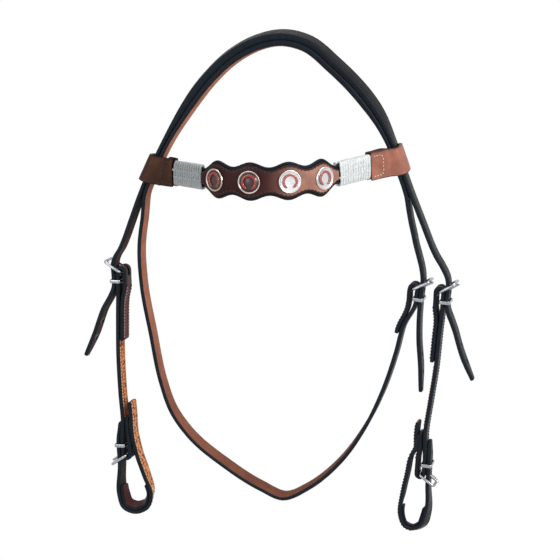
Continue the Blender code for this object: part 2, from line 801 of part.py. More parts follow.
def facing_matrix(point, face, up):
    """Columns: across, up, outwards."""
    across = up.cross(face).normalized()
    return Matrix.Translation(point) @ Matrix((across, up, face)).transposed().to_4x4()


def concho(number, point, face, up):
    """A round domed silver disc with a raised rim, and a plain horseshoe raised on it."""
    crest = CONCHO_DISH + CONCHO_RIM / 2
    profile = [
        (0, CONCHO_DISH),
        (CONCHO_RADIUS - CONCHO_RIM * 1.5, CONCHO_DISH),
        (CONCHO_RADIUS - CONCHO_RIM, crest),
        (CONCHO_RADIUS - CONCHO_RIM / 3, crest),
        (CONCHO_RADIUS, CONCHO_DISH / 2),
        (CONCHO_RADIUS - CONCHO_RIM / 3, 0),
        (0, 0),
    ]
    matrix = facing_matrix(point, face, up)
    turned(f"concho_{number}", profile, matrix, SILVER, 0.35)
    sweep = 2 * math.pi - SHOE_OPEN * 2
    raised = Vector((0, 0, CONCHO_DISH + FIT + SHOE_RAISE / 2))
    line, widths = [], []
    for step in range(SHOE_STEPS + 1):
        turn = -math.pi / 2 + SHOE_OPEN + sweep * step / SHOE_STEPS
        way = Vector((math.cos(turn), math.sin(turn), 0))
        line.append(matrix @ (way * SHOE_RADIUS + raised))
        widths.append((matrix.to_3x3() @ way).normalized())
    return strap(f"concho_{number}_horseshoe", line, widths, SHOE_RAISE, lambda walked: SHOE_WIDTH,
                 ENAMEL, 0)


def concho_screw(number, point, face, up, front, pierced):
    """The screw from behind that holds a concho through the band, up to its back."""
    back = -BAND_THICK / 2 - FIT
    profile = [
        (0, front), (SCREW_RADIUS, front), (SCREW_RADIUS, back),
        (SCREW_HEAD, back), (SCREW_HEAD, back - SCREW_HEAD_THICK), (0, back - SCREW_HEAD_THICK),
    ]
    matrix = facing_matrix(point, face, up)
    turned(f"concho_{number}_screw", profile, matrix, STEEL, 0.3, sides=TURN_SIDES // 2)
    bm = bmesh.new()
    bmesh.ops.create_cone(bm, cap_ends=True, segments=TURN_SIDES // 2, radius1=SCREW_RADIUS + FIT,
                          radius2=SCREW_RADIUS + FIT, depth=BORE_LENGTH)
    bmesh.ops.transform(bm, matrix=matrix, verts=bm.verts)
    bore = mesh_object(f"concho_{number}_bore", bm)
    for obj in pierced:
        cut(obj, bore)


def lace(side, line):
    """A rawhide string wound round the band as one unbroken tube."""
    normals = band_normals(line)
    half_up = BAND_END_WIDTH / 2 + LACE_EASE + LACE_WIRE
    half_out = BAND_THICK / 2 + FIT + LACE_WIRE
    points = []
    total = LACE_LOOPS * LACE_POINTS
    for step in range(total + 1):
        turn = 2 * math.pi * step / LACE_POINTS
        share = step / total * (len(line) - 1)
        spot = min(int(share), len(line) - 2)
        middle = line[spot].lerp(line[spot + 1], share - spot)
        face, up = normals[spot]
        high = math.copysign(abs(math.cos(turn)) ** LACE_SQUARE, math.cos(turn))
        out = math.copysign(abs(math.sin(turn)) ** LACE_SQUARE, math.sin(turn))
        points.append(middle + up * half_up * high - face * half_out * out)
    gap = min(
        (points[first] - points[second]).length
        for first in range(0, len(points), 2)
        for second in range(first + LACE_POINTS // 2, len(points))
    ) - LACE_WIRE * 2
    print(f"{side} lacing: least gap to itself {gap * 1000:.2f} mm")
    return tube(f"{side}_rawhide_lacing", points, LACE_WIRE, RAWHIDE, metallic=0)


def loop_end(side, lap):
    """The leather loop sewn to the band's end, which goes round both crown straps."""
    centre, along = pair_centre(side)
    to_band = Vector((lap[0].x - centre.x, lap[0].y - centre.y, 0)).normalized()
    across = to_band.cross(along).normalized()
    if (across.x > 0) != (side == "right"):
        across.negate()
    side_way = Vector((along.z, 0, -along.x)).normalized()
    depth_way = along.cross(side_way)
    if depth_way.y < 0:
        depth_way.negate()
    ring = centre - depth_way * LOOP_PULL
    grow = 2 ** (1 / LOOP_SQUARE)
    wide = ((PAIR_SPACING + STRAP_THICK) / 2 + LOOP_ROOM) * grow + LOOP_THICK / 2
    deep = (STRAP_WIDTH / 2 + LOOP_ROOM) * grow + LOOP_THICK / 2
    around = []
    for step in range(LOOP_STEPS):
        turn = 2 * math.pi * step / LOOP_STEPS
        flat = math.copysign(abs(math.cos(turn)) ** (2 / LOOP_SQUARE), math.cos(turn))
        tall = math.copysign(abs(math.sin(turn)) ** (2 / LOOP_SQUARE), math.sin(turn))
        around.append(ring + side_way * flat * wide + depth_way * tall * deep)
    reaches = [point - centre for point in around]
    first = max(range(LOOP_STEPS), key=lambda at: reaches[at].dot(to_band * LOOP_LEAN + across))
    last = max(range(LOOP_STEPS), key=lambda at: reaches[at].dot(to_band * LOOP_LEAN - across))
    way = -1 if side == "left" else 1
    walk = [around[first]]
    while first != last:
        first = (first + way) % LOOP_STEPS
        walk.append(around[first])
    half_lap = (BAND_THICK + LOOP_THICK) / 2 + PLY_GAP
    faces = [face * sign_of(face, across) for face, _ in band_normals(lap)]
    front = [point + face * half_lap for point, face in zip(lap, faces)]
    behind = [point - face * half_lap for point, face in zip(lap, faces)]
    rope = thinned(smooth(list(reversed(front)) + walk + behind, BOW_STEPS), LAP_STEP * 2)
    widths = []
    for point, step_way in zip(rope, tangents(rope)):
        lapped = eased(((point - centre).length - deep) / (LAP_STEP * 2))
        upright = along.lerp(Vector((0, 0, 1)), lapped)
        widths.append((upright - step_way * upright.dot(step_way)).normalized())
    return strap(f"{side}_browband_loop", rope, widths, LOOP_THICK, lambda walked: LOOP_WIDTH,
                 LEATHER_BROWN)


def sign_of(face, across):
    return 1 if face.dot(across) > 0 else -1


crown_strap()
throat_strap()
for hand in ("left", "right"):
    cheek_strap(hand)
    bit_strap(hand)
for each in buckles.values():
    buckle_frame(each)
    buckle_tongue(each)
    keeper(each)
browband()

# The browband is turned to face -Y, and the origin goes to the level face that rests on the poll
poll = max(thinned(throat_line()), key=lambda point: point.z) - Vector((0, 0, STRAP_THICK / 2))
settle = Matrix.Rotation(-STRAP_TURN, 4, "Z") @ Matrix.Translation(-poll)
for group in (headstall, cutters):
    for obj in group.objects:
        obj.matrix_world = settle @ obj.matrix_world
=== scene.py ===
# Looks of the western headstall: leather, thread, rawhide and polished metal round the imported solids.
# Metres, +Z up. The browband faces -Y and the origin is the level face that rests on the poll.
import math
import random

import bmesh
import bpy
from mathutils import Matrix, Vector


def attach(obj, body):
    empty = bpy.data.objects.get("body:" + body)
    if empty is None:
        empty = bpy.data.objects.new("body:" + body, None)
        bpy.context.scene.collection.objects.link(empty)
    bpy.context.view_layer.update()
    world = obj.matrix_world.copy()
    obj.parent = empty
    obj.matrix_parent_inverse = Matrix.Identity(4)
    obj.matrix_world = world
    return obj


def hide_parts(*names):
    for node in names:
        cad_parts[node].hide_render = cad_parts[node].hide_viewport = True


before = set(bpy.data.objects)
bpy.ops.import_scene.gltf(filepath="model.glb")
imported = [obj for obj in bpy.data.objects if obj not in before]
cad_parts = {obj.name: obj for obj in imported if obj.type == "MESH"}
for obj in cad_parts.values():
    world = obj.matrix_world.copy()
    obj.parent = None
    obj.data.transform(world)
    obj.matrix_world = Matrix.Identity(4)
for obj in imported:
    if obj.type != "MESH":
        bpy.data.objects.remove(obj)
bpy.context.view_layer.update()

# Overall reach of the straps as they hang
SPAN = 0.180  # centre plane to the outer straps
DROP = 0.500  # poll to the lowest strap
BOW = 0.095  # how far the browband stands forward of the crown
FIT = 0.0003  # gap between pieces that touch
TINY = 1e-7
SMOOTH_PARTS = 14  # steps between two given points of a smooth line

# Straps
STRAP_WIDTH = 0.0175
STRAP_THICK = 0.0042
STRAP_TURN = math.radians(16)  # the straps hang turned this far from the browband's front
TIP_WIDTH = 0.0085
TIP_TAPER = 0.030
LONGEST_STEP = 0.012
CHEEK_STEP = 0.0075
TURN_STEP = math.radians(15)

# Buckles, their tongues and keepers
WIRE = 0.0015  # radius of the frame's wire
TONGUE_WIRE = 0.0012
TONGUE_REACH = 0.0018  # past the frame's far bar
PIN_GAP = 0.0002  # running gap of the tongue on its bar
FRAME_LENGTH = 0.0195
FRAME_CORNER = 0.0035
FRAME_SIDE_GAP = 0.0006
FRAME_TILT = math.radians(57)
TONGUE_SWING = math.radians(8)
KEEPER_DROP = 0.0105
KEEPER_BAND = 0.0011
KEEPER_LENGTH = 0.0036
KEEPER_GAP = 0.0005
STRAIGHT_RUN = 0.0155
PLY_JOIN = 0.018
PLY_GAP = 0.0005
HOLE_WIDTH = 0.0042
HOLE_LENGTH = 0.0080
FOLD_STEPS = 12
HOOK_STEPS = 10
HOOK_STEP = math.radians(28)
HOOK_FROM = math.radians(60)

# Plies sewn back on themselves, and how far each runs from its fold
UPPER_PLY = 0.078
LOWER_PLY = 0.050
BIT_SEWN = 0.062
BIT_TAIL = 0.042
THROAT_PLY = 0.055
BIT_LOOP_STEP = 0.0045
BIT_LOOP_HEIGHT = 0.045
BIT_LOOP_TWIST = math.radians(20)
THROAT_TWIST = math.radians(8)
LINER_THICK = 0.0024
LINER_WIDTH = 0.0140
LINER_HEIGHT = 0.030
PAIR_SPACING = 0.0045  # middle to middle of the crown and throat straps in the browband's loops
SPLAY_SPACING = 0.0072
CROWN_SPLAY = math.radians(14)
POLL_CENTRE = Vector((0, 0, -DROP / 2))

# Browband
BAND_RADIUS = 0.072
BAND_DIP = 0.0040
BAND_TILT_SHARE = 0.017  # rise per length from its left end to its right
BAND_THICK = 0.0032
BAND_END_WIDTH = 0.0184
LOBE_WIDTH = 0.0380
NECK_WIDTH = 0.0280
LOBE_PITCH = 0.0376
LOBE_END = 0.0210
COVER_THICK = 0.0020
COVER_MARGIN = 0.0030
BAND_STEP = 0.0042
LOOP_WIDTH = 0.0290
LOOP_THICK = 0.0028
LOOP_ROOM = 0.0008
LOOP_PULL = 0.0020  # the band draws its loops forward onto the straps' back edges
LOOP_NECK = 0.0090  # from the loop's front to the band's end
LAP_STEP = 0.0080
LAP_BARE = 0.0065  # the loop's plies meet before the band starts between them
LACE_WIRE = 0.00135
LACE_LENGTH = 0.046
LACE_LOOPS = 12
LACE_POINTS = 14  # points of each turn
LACE_SQUARE = 0.35
LACE_EASE = 0.0010
LOOP_SQUARE = 4
LOOP_STEPS = 24
LOOP_LEAN = 0.6
BOW_STEPS = 8

# Conchos
CONCHO_RADIUS = 0.0115
CONCHO_DISH = 0.0014
CONCHO_RIM = 0.0012
SHOE_RADIUS = 0.0066
SHOE_WIDTH = 0.0025
SHOE_RAISE = 0.0008
SHOE_OPEN = math.radians(28)
SCREW_RADIUS = 0.0022
SCREW_HEAD = 0.0048
SCREW_HEAD_THICK = 0.0012
CONCHOS = 4
MIDDLE = (CONCHOS - 1) / 2
SHOE_STEPS = 16

# Routes, as shares of SPAN across and of DROP upwards, read from the object as it hangs
LEFT_TAIL_SHARES = [(-1.033, -0.546), (-1.085, -0.598), (-1.146, -0.645)]
RIGHT_TAIL_SHARES = [(1.020, -0.583), (1.068, -0.640), (1.135, -0.699)]
CROWN_SHARES = [
    (-0.913, -0.407), (-0.851, -0.348), (-0.799, -0.298), (-0.744, -0.252), (-0.689, -0.211),
    (-0.616, -0.160), (-0.530, -0.109), (-0.420, -0.058), (-0.282, -0.012), (-0.136, 0.016),
    (0.017, 0.026), (0.153, 0.014), (0.308, -0.030), (0.459, -0.084), (0.568, -0.136),
    (0.651, -0.197), (0.712, -0.256), (0.760, -0.302), (0.826, -0.361), (0.885, -0.414),
]
THROAT_RIGHT_SHARES = [(0.784, -0.399), (0.752, -0.348)]
THROAT_SHARES = [
    (-0.785, -0.344), (-0.807, -0.404), (-0.799, -0.489), (-0.752, -0.593), (-0.692, -0.707),
    (-0.641, -0.762), (-0.536, -0.819), (-0.329, -0.885), (-0.114, -0.937), (0.024, -0.959),
    (0.168, -0.937), (0.341, -0.885), (0.512, -0.797), (0.610, -0.720), (0.685, -0.635),
    (0.726, -0.577),
]
THROAT_TAIL_SHARES = [(0.816, -0.614), (0.828, -0.666), (0.830, -0.725)]
CHEEK_SHARES = {
    "left": [(-0.941, -0.562), (-0.944, -0.645), (-0.937, -0.724), (-0.926, -0.798)],
    "right": [(0.936, -0.598), (0.918, -0.676), (0.890, -0.750), (0.865, -0.819)],
}
BIT_LOOP_SHARES = {
    "left": [
        (-0.860, -0.843), (-0.848, -0.862), (-0.806, -0.910), (-0.776, -0.955), (-0.801, -0.978),
        (-0.862, -0.987), (-0.924, -0.978), (-0.949, -0.954),
    ],
    "right": [
        (0.782, -0.869), (0.764, -0.904), (0.738, -0.950), (0.721, -1.002), (0.744, -1.025),
        (0.801, -1.034), (0.858, -1.025), (0.881, -1.002),
    ],
}
LOOP_HEIGHT_SHARES = {"left": -0.247, "right": -0.228}
APEX_SHARE = -0.062
SPLAY_FROM_SHARE = -0.21
SPLAY_TO_SHARE = -0.10
THROAT_TWIST_FROM_SHARE = -0.70
THROAT_TWIST_OVER_SHARE = 0.20
UNDER_CROWN_SHARE = -0.285

# Where each buckle's heel bar lies, the way the strap's free end runs, and the way it faces
BUCKLE_SHARES = {
    "left_cheek": (-0.918, -0.461, (0.02, -1), -1),
    "right_cheek": (0.933, -0.505, (-0.04, -1), 1),
    "throat": (0.781, -0.498, (-0.10, -1), 1),
    "left_bit": (-0.908, -0.862, (-0.05, 1), -1),
    "right_bit": (0.841, -0.905, (0.05, 1), 1),
}


hang = Matrix.Rotation(STRAP_TURN, 3, "Z")


def place(share_x, share_z, share_y=0):
    """A point of the hanging headstall, in the frame whose Y is the straps' width."""
    return hang @ Vector((share_x * SPAN, share_y * BOW, share_z * DROP))


def places(shares):
    return [place(*share) for share in shares]


def smooth(points, parts=SMOOTH_PARTS):
    """A dense smooth line through the points, even where they lie unevenly."""
    ends = [points[0] * 2 - points[1]] + list(points) + [points[-1] * 2 - points[-2]]
    line = []
    for before, start, end, after in zip(ends, ends[1:], ends[2:], ends[3:]):
        span = (end - start).length
        lead = (start - before).length
        trail = (after - end).length
        slope_in = ((start - before) / lead * span + (end - start) / span * lead) / (lead + span)
        slope_out = ((end - start) / span * trail + (after - end) / trail * span) / (span + trail)
        for part in range(parts):
            t = part / parts
            line.append(
                start * (2 * t**3 - 3 * t**2 + 1)
                + end * (3 * t**2 - 2 * t**3)
                + slope_in * span * (t**3 - 2 * t**2 + t)
                + slope_out * span * (t**3 - t**2)
            )
    return line + [Vector(points[-1])]


def thinned(line, longest=LONGEST_STEP):
    """Fewer points: one for each step of length, and more where the line turns."""
    kept = [line[0], line[1]]
    turned = 0
    for before, here, after in zip(line[1:], line[2:], line[3:]):
        turned += (here - before).angle(after - here, 0)
        if turned > TURN_STEP or (here - kept[-1]).length > longest:
            kept.append(here)
            turned = 0
    return kept[:1] + kept[2:] + [line[-1]]


def tangents(line):
    return [
        (after - before).normalized()
        for before, after in zip([line[0]] + line[:-1], line[1:] + [line[-1]])
    ]


def depth_widths(line, twists=None):
    """The strap's width direction at each point: the depth axis, turned about the strap by its twist."""
    widths = []
    for along, twist in zip(tangents(line), twists or [0] * len(line)):
        across = (Vector((0, 1, 0)) - along * along.y).normalized()
        widths.append(Matrix.Rotation(twist, 3, along) @ across)
    return widths


def walk_along(line):
    """The length walked at each point of the line."""
    walked = [0]
    for before, after in zip(line, line[1:]):
        walked.append(walked[-1] + (after - before).length)
    return walked


def length_of(line):
    return walk_along(line)[-1]


def spot_at(walked, want):
    """Where a walk ends: the point after it, and its share of the way there from the point before."""
    want = min(max(want, 0), walked[-1])
    spot = next(at for at in range(1, len(walked)) if walked[at] >= want)
    return spot, (want - walked[spot - 1]) / max(walked[spot] - walked[spot - 1], TINY)


def between(values, at):
    """The value at a place counted in steps, part way between two given values."""
    first = min(int(at), len(values) - 2)
    return values[first].lerp(values[first + 1], at - first)


def tapered(total, first_end, last_end):
    """Full width along the strap, drawn in towards each end that is a billet's tip."""

    def size(walked):
        near = TIP_TAPER
        if first_end:
            near = min(near, walked)
        if last_end:
            near = min(near, total - walked)
        return TIP_WIDTH + (STRAP_WIDTH - TIP_WIDTH) * math.sin(near / TIP_TAPER * math.pi / 2)

    return size


# Each buckle works in its own plane: heel bar at zero, free end along the run, billet on the outer side
HEEL_RADIUS = WIRE + FIT + STRAP_THICK / 2
BILLET_OUT = HEEL_RADIUS + STRAP_THICK + PLY_GAP
FRAME_HALF = STRAP_WIDTH / 2 + FRAME_SIDE_GAP + WIRE


class Buckle:
    def __init__(self, name):
        share_x, share_z, run, side = BUCKLE_SHARES[name]
        self.name = name
        self.heel = place(share_x, share_z)
        self.run = Vector((run[0], 0, run[1])).normalized()
        self.out = Vector((self.run.z, 0, -self.run.x))
        if self.out.x * side < 0:
            self.out.negate()

    def at(self, run, out, depth=0):
        return self.heel + self.run * run + self.out * out + Vector((0, depth, 0))

    def arc(self):
        """The strap's turn round the heel bar, from the inner ply to the outer one."""
        turns = [math.pi * step / FOLD_STEPS for step in range(FOLD_STEPS + 1)]
        return [
            self.at(-HEEL_RADIUS * math.sin(turn), -HEEL_RADIUS * math.cos(turn)) for turn in turns
        ]

    def outer_ply(self):
        return [self.at(run, HEEL_RADIUS) for run in (0, STRAIGHT_RUN / 2, STRAIGHT_RUN)]

    def billet(self):
        """The free strap's straight run over the heel bar, from the frame's side to past the keeper."""
        return [self.at(run, BILLET_OUT) for run in (-HOLE_LENGTH, 0, STRAIGHT_RUN)]

    def matrix(self, origin=None):
        """Columns: out, depth, run."""
        made = Matrix((self.out, (0, 1, 0), self.run)).transposed().to_4x4()
        if made.determinant() < 0:
            made = Matrix((self.out, (0, -1, 0), self.run)).transposed().to_4x4()
        return Matrix.Translation(origin or self.heel) @ made

    def frame_way(self):
        return self.out * math.sin(FRAME_TILT) - self.run * math.cos(FRAME_TILT)


buckles = {name: Buckle(name) for name in BUCKLE_SHARES}


def crossing(tilt):
    """How far along the run a tongue at this tilt crosses the billet's middle."""
    rise = WIRE + FIT + TONGUE_WIRE
    reach = (BILLET_OUT - rise * math.cos(tilt)) / math.sin(tilt)
    return rise * math.sin(tilt) - reach * math.cos(tilt)


def eased(share):
    share = min(max(share, 0), 1)
    return share * share * (3 - 2 * share)


def offset(line, out, distance, until):
    """The line moved along its own normal, by a distance that may change as it is walked.
    A point that would run back on the last one is left out, as in a tight bend."""
    moved = []
    normal = out
    for point, along, walked in zip(line, tangents(line), walk_along(line)):
        if walked > until:
            break
        turned = Vector((along.z, 0, -along.x)).normalized()
        normal = turned if turned.dot(normal) > 0 else -turned
        spot = point + normal * distance(walked)
        if not moved or (spot - moved[-1]).dot(along) > FIT:
            moved.append(spot)
    return moved


def ply(line, buckle, layers, until):
    """A ply under the strap's outer one: open round the keeper, then close against its neighbour."""
    near = HEEL_RADIUS * 2 + (layers - 1) * (STRAP_THICK + PLY_GAP)
    far = layers * (STRAP_THICK + PLY_GAP)

    def distance(walked):
        return -(near + (far - near) * eased((walked - STRAIGHT_RUN) / PLY_JOIN))

    return offset(line, buckle.out, distance, until)


def crown_line():
    """The crown strap's middle line, from its left tip over the poll to its right tip."""
    left, right = (buckles[f"{side}_cheek"].billet() for side in ("left", "right"))
    route = list(reversed(left + places(LEFT_TAIL_SHARES))) + places(CROWN_SHARES)
    return smooth(route + right + places(RIGHT_TAIL_SHARES))


def over_poll(point):
    """Zero at the browband and below it, one at the poll, where the two straps splay."""
    return eased((point.z / DROP - SPLAY_FROM_SHARE) / (SPLAY_TO_SHARE - SPLAY_FROM_SHARE))


def under_crown():
    """The throat strap's stretch under the crown strap, from the right browband loop to the left one."""
    stretch = [point for point in reversed(crown_line()) if point.z > UNDER_CROWN_SHARE * DROP]
    moved = []
    for point, along in zip(stretch, tangents(stretch)):
        inward = Vector((along.z, 0, -along.x)).normalized()
        if inward.dot(point - POLL_CENTRE) > 0:
            inward.negate()
        moved.append(point + inward * (PAIR_SPACING + (SPLAY_SPACING - PAIR_SPACING) * over_poll(point)))
    return moved


def throat_line():
    """The throat strap's middle line, from its tip over the poll and round the throat to its buckle."""
    buckle = buckles["throat"]
    start = list(reversed(buckle.billet() + places(THROAT_TAIL_SHARES))) + places(THROAT_RIGHT_SHARES)
    upper = under_crown()
    ahead = smooth(start + upper[:2])
    rest = smooth(upper[-2:] + places(THROAT_SHARES) + list(reversed(buckle.outer_ply())))
    return ahead[:-SMOOTH_PARTS - 1] + upper[1:-1] + rest[SMOOTH_PARTS + 1:]


def cheek_line(side):
    """The cheek strap's outer ply, from the cheek buckle down to the bit buckle."""
    top, bottom = (buckles[f"{side}_{end}"].outer_ply() for end in ("cheek", "bit"))
    return thinned(smooth(top + places(CHEEK_SHARES[side]) + list(reversed(bottom))), CHEEK_STEP)


def sewn_tail(line):
    """How many points from the fold the bit strap leaves its ply."""
    return next(at for at, walked in enumerate(walk_along(line)) if walked > STRAIGHT_RUN + PLY_JOIN / 2)


def pair_centre(side):
    """The middle of the two straps inside a browband loop, and the straps' direction there."""
    height = LOOP_HEIGHT_SHARES[side] * DROP
    line = [point for point in crown_line() if (point.x > 0) == (side == "right")]
    index = min(range(1, len(line) - 1), key=lambda spot: abs(line[spot].z - height))
    along = (line[index + 1] - line[index - 1]).normalized()
    if along.z < 0:
        along.negate()
    inward = Vector((along.z, 0, -along.x)).normalized() * (-1 if side == "right" else 1)
    return line[index] + inward * PAIR_SPACING / 2, along


def band_line():
    """The browband's middle line: a round bow in front, with flanks back to the crown straps."""
    left, _ = pair_centre("left")
    right, _ = pair_centre("right")
    level = (left.z + right.z) / 2 - BAND_DIP
    apex = place(APEX_SHARE, level / DROP, -1)
    bow = []
    for step in range(-BOW_STEPS, BOW_STEPS + 1):
        turn = LOBE_PITCH * MIDDLE / BAND_RADIUS * step / BOW_STEPS
        step_way = Vector((math.sin(turn), 1 - math.cos(turn), BAND_TILT_SHARE * math.sin(turn)))
        bow.append(apex + hang @ step_way * BAND_RADIUS)
    return left, bow, right


def band_core():
    """The band's dense line from one loop to the other, with its walked lengths and its bow's middle."""
    left, bow, right = band_line()
    stand = STRAP_WIDTH / 2 + LOOP_ROOM + LOOP_NECK
    anchored = ((left, bow[0]), (right, bow[-1]))
    ends = [anchor + (near - anchor).normalized() * stand for anchor, near in anchored]
    flanks = [ends[0].lerp(bow[0], 0.5), ends[1].lerp(bow[-1], 0.5)]
    line = smooth([ends[0], flanks[0]] + bow + [flanks[1], ends[1]], BOW_STEPS)
    walked = walk_along(line)
    middle = min(range(len(line)), key=lambda spot: (line[spot] - bow[BOW_STEPS]).length)
    return line, walked, walked[middle]


def band_normals(line):
    """The outward face direction and the upward width direction at each point."""
    normals = []
    for along in tangents(line):
        face = Vector((along.y, -along.x, 0)).normalized()
        normals.append((face, along.cross(face) * -1))
    return normals


def resampled(line, walked, start, stop, step):
    """Evenly spaced points between two walked lengths."""
    count = max(2, round((stop - start) / step))
    points = []
    for index in range(count + 1):
        spot, share = spot_at(walked, start + (stop - start) * index / count)
        points.append(line[spot - 1].lerp(line[spot], share))
    return points


def lobe_width(from_middle):
    """The scalloped outline: widest at each concho, drawn in between, and narrow past the last one."""
    reach = LOBE_PITCH * MIDDLE
    wave = math.cos(2 * math.pi * (from_middle / LOBE_PITCH + 0.5))
    mean = (LOBE_WIDTH + NECK_WIDTH) / 2
    width = mean + (LOBE_WIDTH - NECK_WIDTH) / 2 * wave
    past = abs(from_middle) - reach
    if past > 0:
        width = BAND_END_WIDTH + (LOBE_WIDTH - BAND_END_WIDTH) * (1 - eased(past / LOBE_END))
    return width


def squared(turn, power):
    """Cosine and sine of a turn round a square with round corners."""
    return [math.copysign(abs(share) ** power, share) for share in (math.cos(turn), math.sin(turn))]


def facing_matrix(point, face, up):
    """Columns: across, up, outwards."""
    across = up.cross(face).normalized()
    return Matrix.Translation(point) @ Matrix((across, up, face)).transposed().to_4x4()


def lace_points(line):
    """The middle of a rawhide string wound round the band in one unbroken run."""
    normals = band_normals(line)
    half_up = BAND_END_WIDTH / 2 + LACE_EASE + LACE_WIRE
    half_out = BAND_THICK / 2 + FIT + LACE_WIRE
    points = []
    total = LACE_LOOPS * LACE_POINTS
    for step in range(total + 1):
        share = step / total * (len(line) - 1)
        face, up = normals[min(int(share), len(line) - 2)]
        high, out = squared(2 * math.pi * step / LACE_POINTS, LACE_SQUARE)
        points.append(between(line, share) + up * half_up * high - face * half_out * out)
    return points


def loop_ring(side, centre, along, to_band, across):
    """The loop's stretch round both straps, from the band's front to its back, and its half depth."""
    side_way = Vector((along.z, 0, -along.x)).normalized()
    depth_way = along.cross(side_way)
    if depth_way.y < 0:
        depth_way.negate()
    ring = centre - depth_way * LOOP_PULL
    grow = 2 ** (1 / LOOP_SQUARE)
    wide = ((PAIR_SPACING + STRAP_THICK) / 2 + LOOP_ROOM) * grow + LOOP_THICK / 2
    deep = (STRAP_WIDTH / 2 + LOOP_ROOM) * grow + LOOP_THICK / 2
    around = []
    for step in range(LOOP_STEPS):
        flat, tall = squared(2 * math.pi * step / LOOP_STEPS, 2 / LOOP_SQUARE)
        around.append(ring + side_way * flat * wide + depth_way * tall * deep)
    first, last = (
        max(range(LOOP_STEPS), key=lambda at: (around[at] - centre).dot(to_band * LOOP_LEAN + across * hand))
        for hand in (1, -1)
    )
    walk = [around[first]]
    while first != last:
        first = (first + (-1 if side == "left" else 1)) % LOOP_STEPS
        walk.append(around[first])
    return walk, deep


def loop_route(side, lap):
    """The route and widths of the loop sewn to the band's end, which goes round both crown straps."""
    centre, along = pair_centre(side)
    to_band = Vector((lap[0].x - centre.x, lap[0].y - centre.y, 0)).normalized()
    across = to_band.cross(along).normalized()
    if (across.x > 0) != (side == "right"):
        across.negate()
    walk, deep = loop_ring(side, centre, along, to_band, across)
    half_lap = (BAND_THICK + LOOP_THICK) / 2 + PLY_GAP
    faces = [face * math.copysign(1, face.dot(across)) for face, _ in band_normals(lap)]
    front = [point + face * half_lap for point, face in zip(lap, faces)]
    behind = [point - face * half_lap for point, face in zip(lap, faces)]
    rope = thinned(smooth(list(reversed(front)) + walk + behind, BOW_STEPS), LAP_STEP * 2)
    widths = []
    for point, step_way in zip(rope, tangents(rope)):
        lapped = eased(((point - centre).length - deep) / (LAP_STEP * 2))
        upright = along.lerp(Vector((0, 0, 1)), lapped)
        widths.append((upright - step_way * upright.dot(step_way)).normalized())
    return rope, widths


# Finer shapes than the solids, on the same lines
DENSE_PARTS = 6  # steps that a strap's thinned line is made dense by
RING_STEP = 0.0026
RING_TURN = math.radians(6)
EDGE_ROUND = 0.80
EDGE_SIDES = 4
CORNER_SHARE = 0.6  # of the half width, at most
TOP_ROW_SHARE = 0.45
END_SOFT = 0.3
CREASE_IN = 0.0010
CREASE_HALF = 0.00045
CREASE_DEPTH = 0.00022
SLOT_SIDES = 20
CORNERS = ((-1, -1), (1, -1), (1, 1), (-1, 1))
random.seed(7)

poll = max(thinned(throat_line()), key=lambda point: point.z) - Vector((0, 0, STRAP_THICK / 2))
settle = Matrix.Rotation(-STRAP_TURN, 4, "Z") @ Matrix.Translation(-poll)
settle_turn = settle.to_3x3()


def smooth_cloth(line, values):
    """The line made dense again between its points, with the values that go with them."""
    dense = smooth(line, DENSE_PARTS)
    spots = [0]
    turned = 0
    for spot in range(1, len(dense) - 1):
        before, here, after = dense[spot - 1:spot + 2]
        turned += (here - before).angle(after - here, 0)
        if turned > RING_TURN or (here - dense[spots[-1]]).length > RING_STEP:
            spots.append(spot)
            turned = 0
    spots.append(len(dense) - 1)
    given = [between(values, spot / DENSE_PARTS).normalized() for spot in spots]
    return [dense[spot] for spot in spots], given


def ring_outline(half_width, half_thick, creased, dome):
    """One ring of a strap's section: (across, out, side) from its left edge over the top and back below."""
    corner = min(half_thick * EDGE_ROUND, half_width * CORNER_SHARE)
    flat = half_width - corner
    right = [(0, 0), (flat * TOP_ROW_SHARE, 0)]
    if creased:
        right += [(flat - (CREASE_IN + CREASE_HALF * step), step % 2) for step in (2, 1, 0)]
    right.append((flat, 0))
    ring = []
    for across, depth in [(-across, depth) for across, depth in reversed(right[1:])] + right:
        rise = dome * (1 - (across / max(flat, TINY)) ** 2)
        ring.append((across, half_thick + rise - depth * CREASE_DEPTH, 1))
    arc = []
    for step in range(1, EDGE_SIDES * 2):
        turn = math.pi / 2 - math.pi / 2 * step / EDGE_SIDES
        rise = math.sin(turn)
        level = (half_thick - corner) * (1 if rise > TINY else -1 if rise < -TINY else 0)
        out = level + corner * rise
        arc.append((flat + corner * math.cos(turn), out, out / half_thick))
    below = [(across, -half_thick, -1) for across in (flat, 0, -flat)]
    return ring + arc + below + [(-across, out, side) for across, out, side in reversed(arc)]


def ring_faces(rings, around, closed=False):
    """The faces between rings of points in a line or a closed round; a line's ends are shut too."""
    faces = []
    for row in range(rings if closed else rings - 1):
        low, high = row * around, (row + 1) % rings * around
        for spot in range(around):
            after = (spot + 1) % around
            faces.append((low + spot, low + after, high + after, high + spot))
    if not closed:
        faces += [tuple(range(around)), tuple(range((rings - 1) * around, rings * around))]
    return faces


def shown(name, data):
    obj = bpy.data.objects.new(name, data)
    bpy.context.scene.collection.objects.link(obj)
    return obj


def solid_mesh(name, points, faces):
    """A mesh whose faces all look outwards."""
    mesh = bpy.data.meshes.new(name)
    mesh.from_pydata([tuple(point) for point in points], [], faces)
    bm = bmesh.new()
    bm.from_mesh(mesh)
    bmesh.ops.recalc_face_normals(bm, faces=bm.faces)
    bm.to_mesh(mesh)
    bm.free()
    return mesh


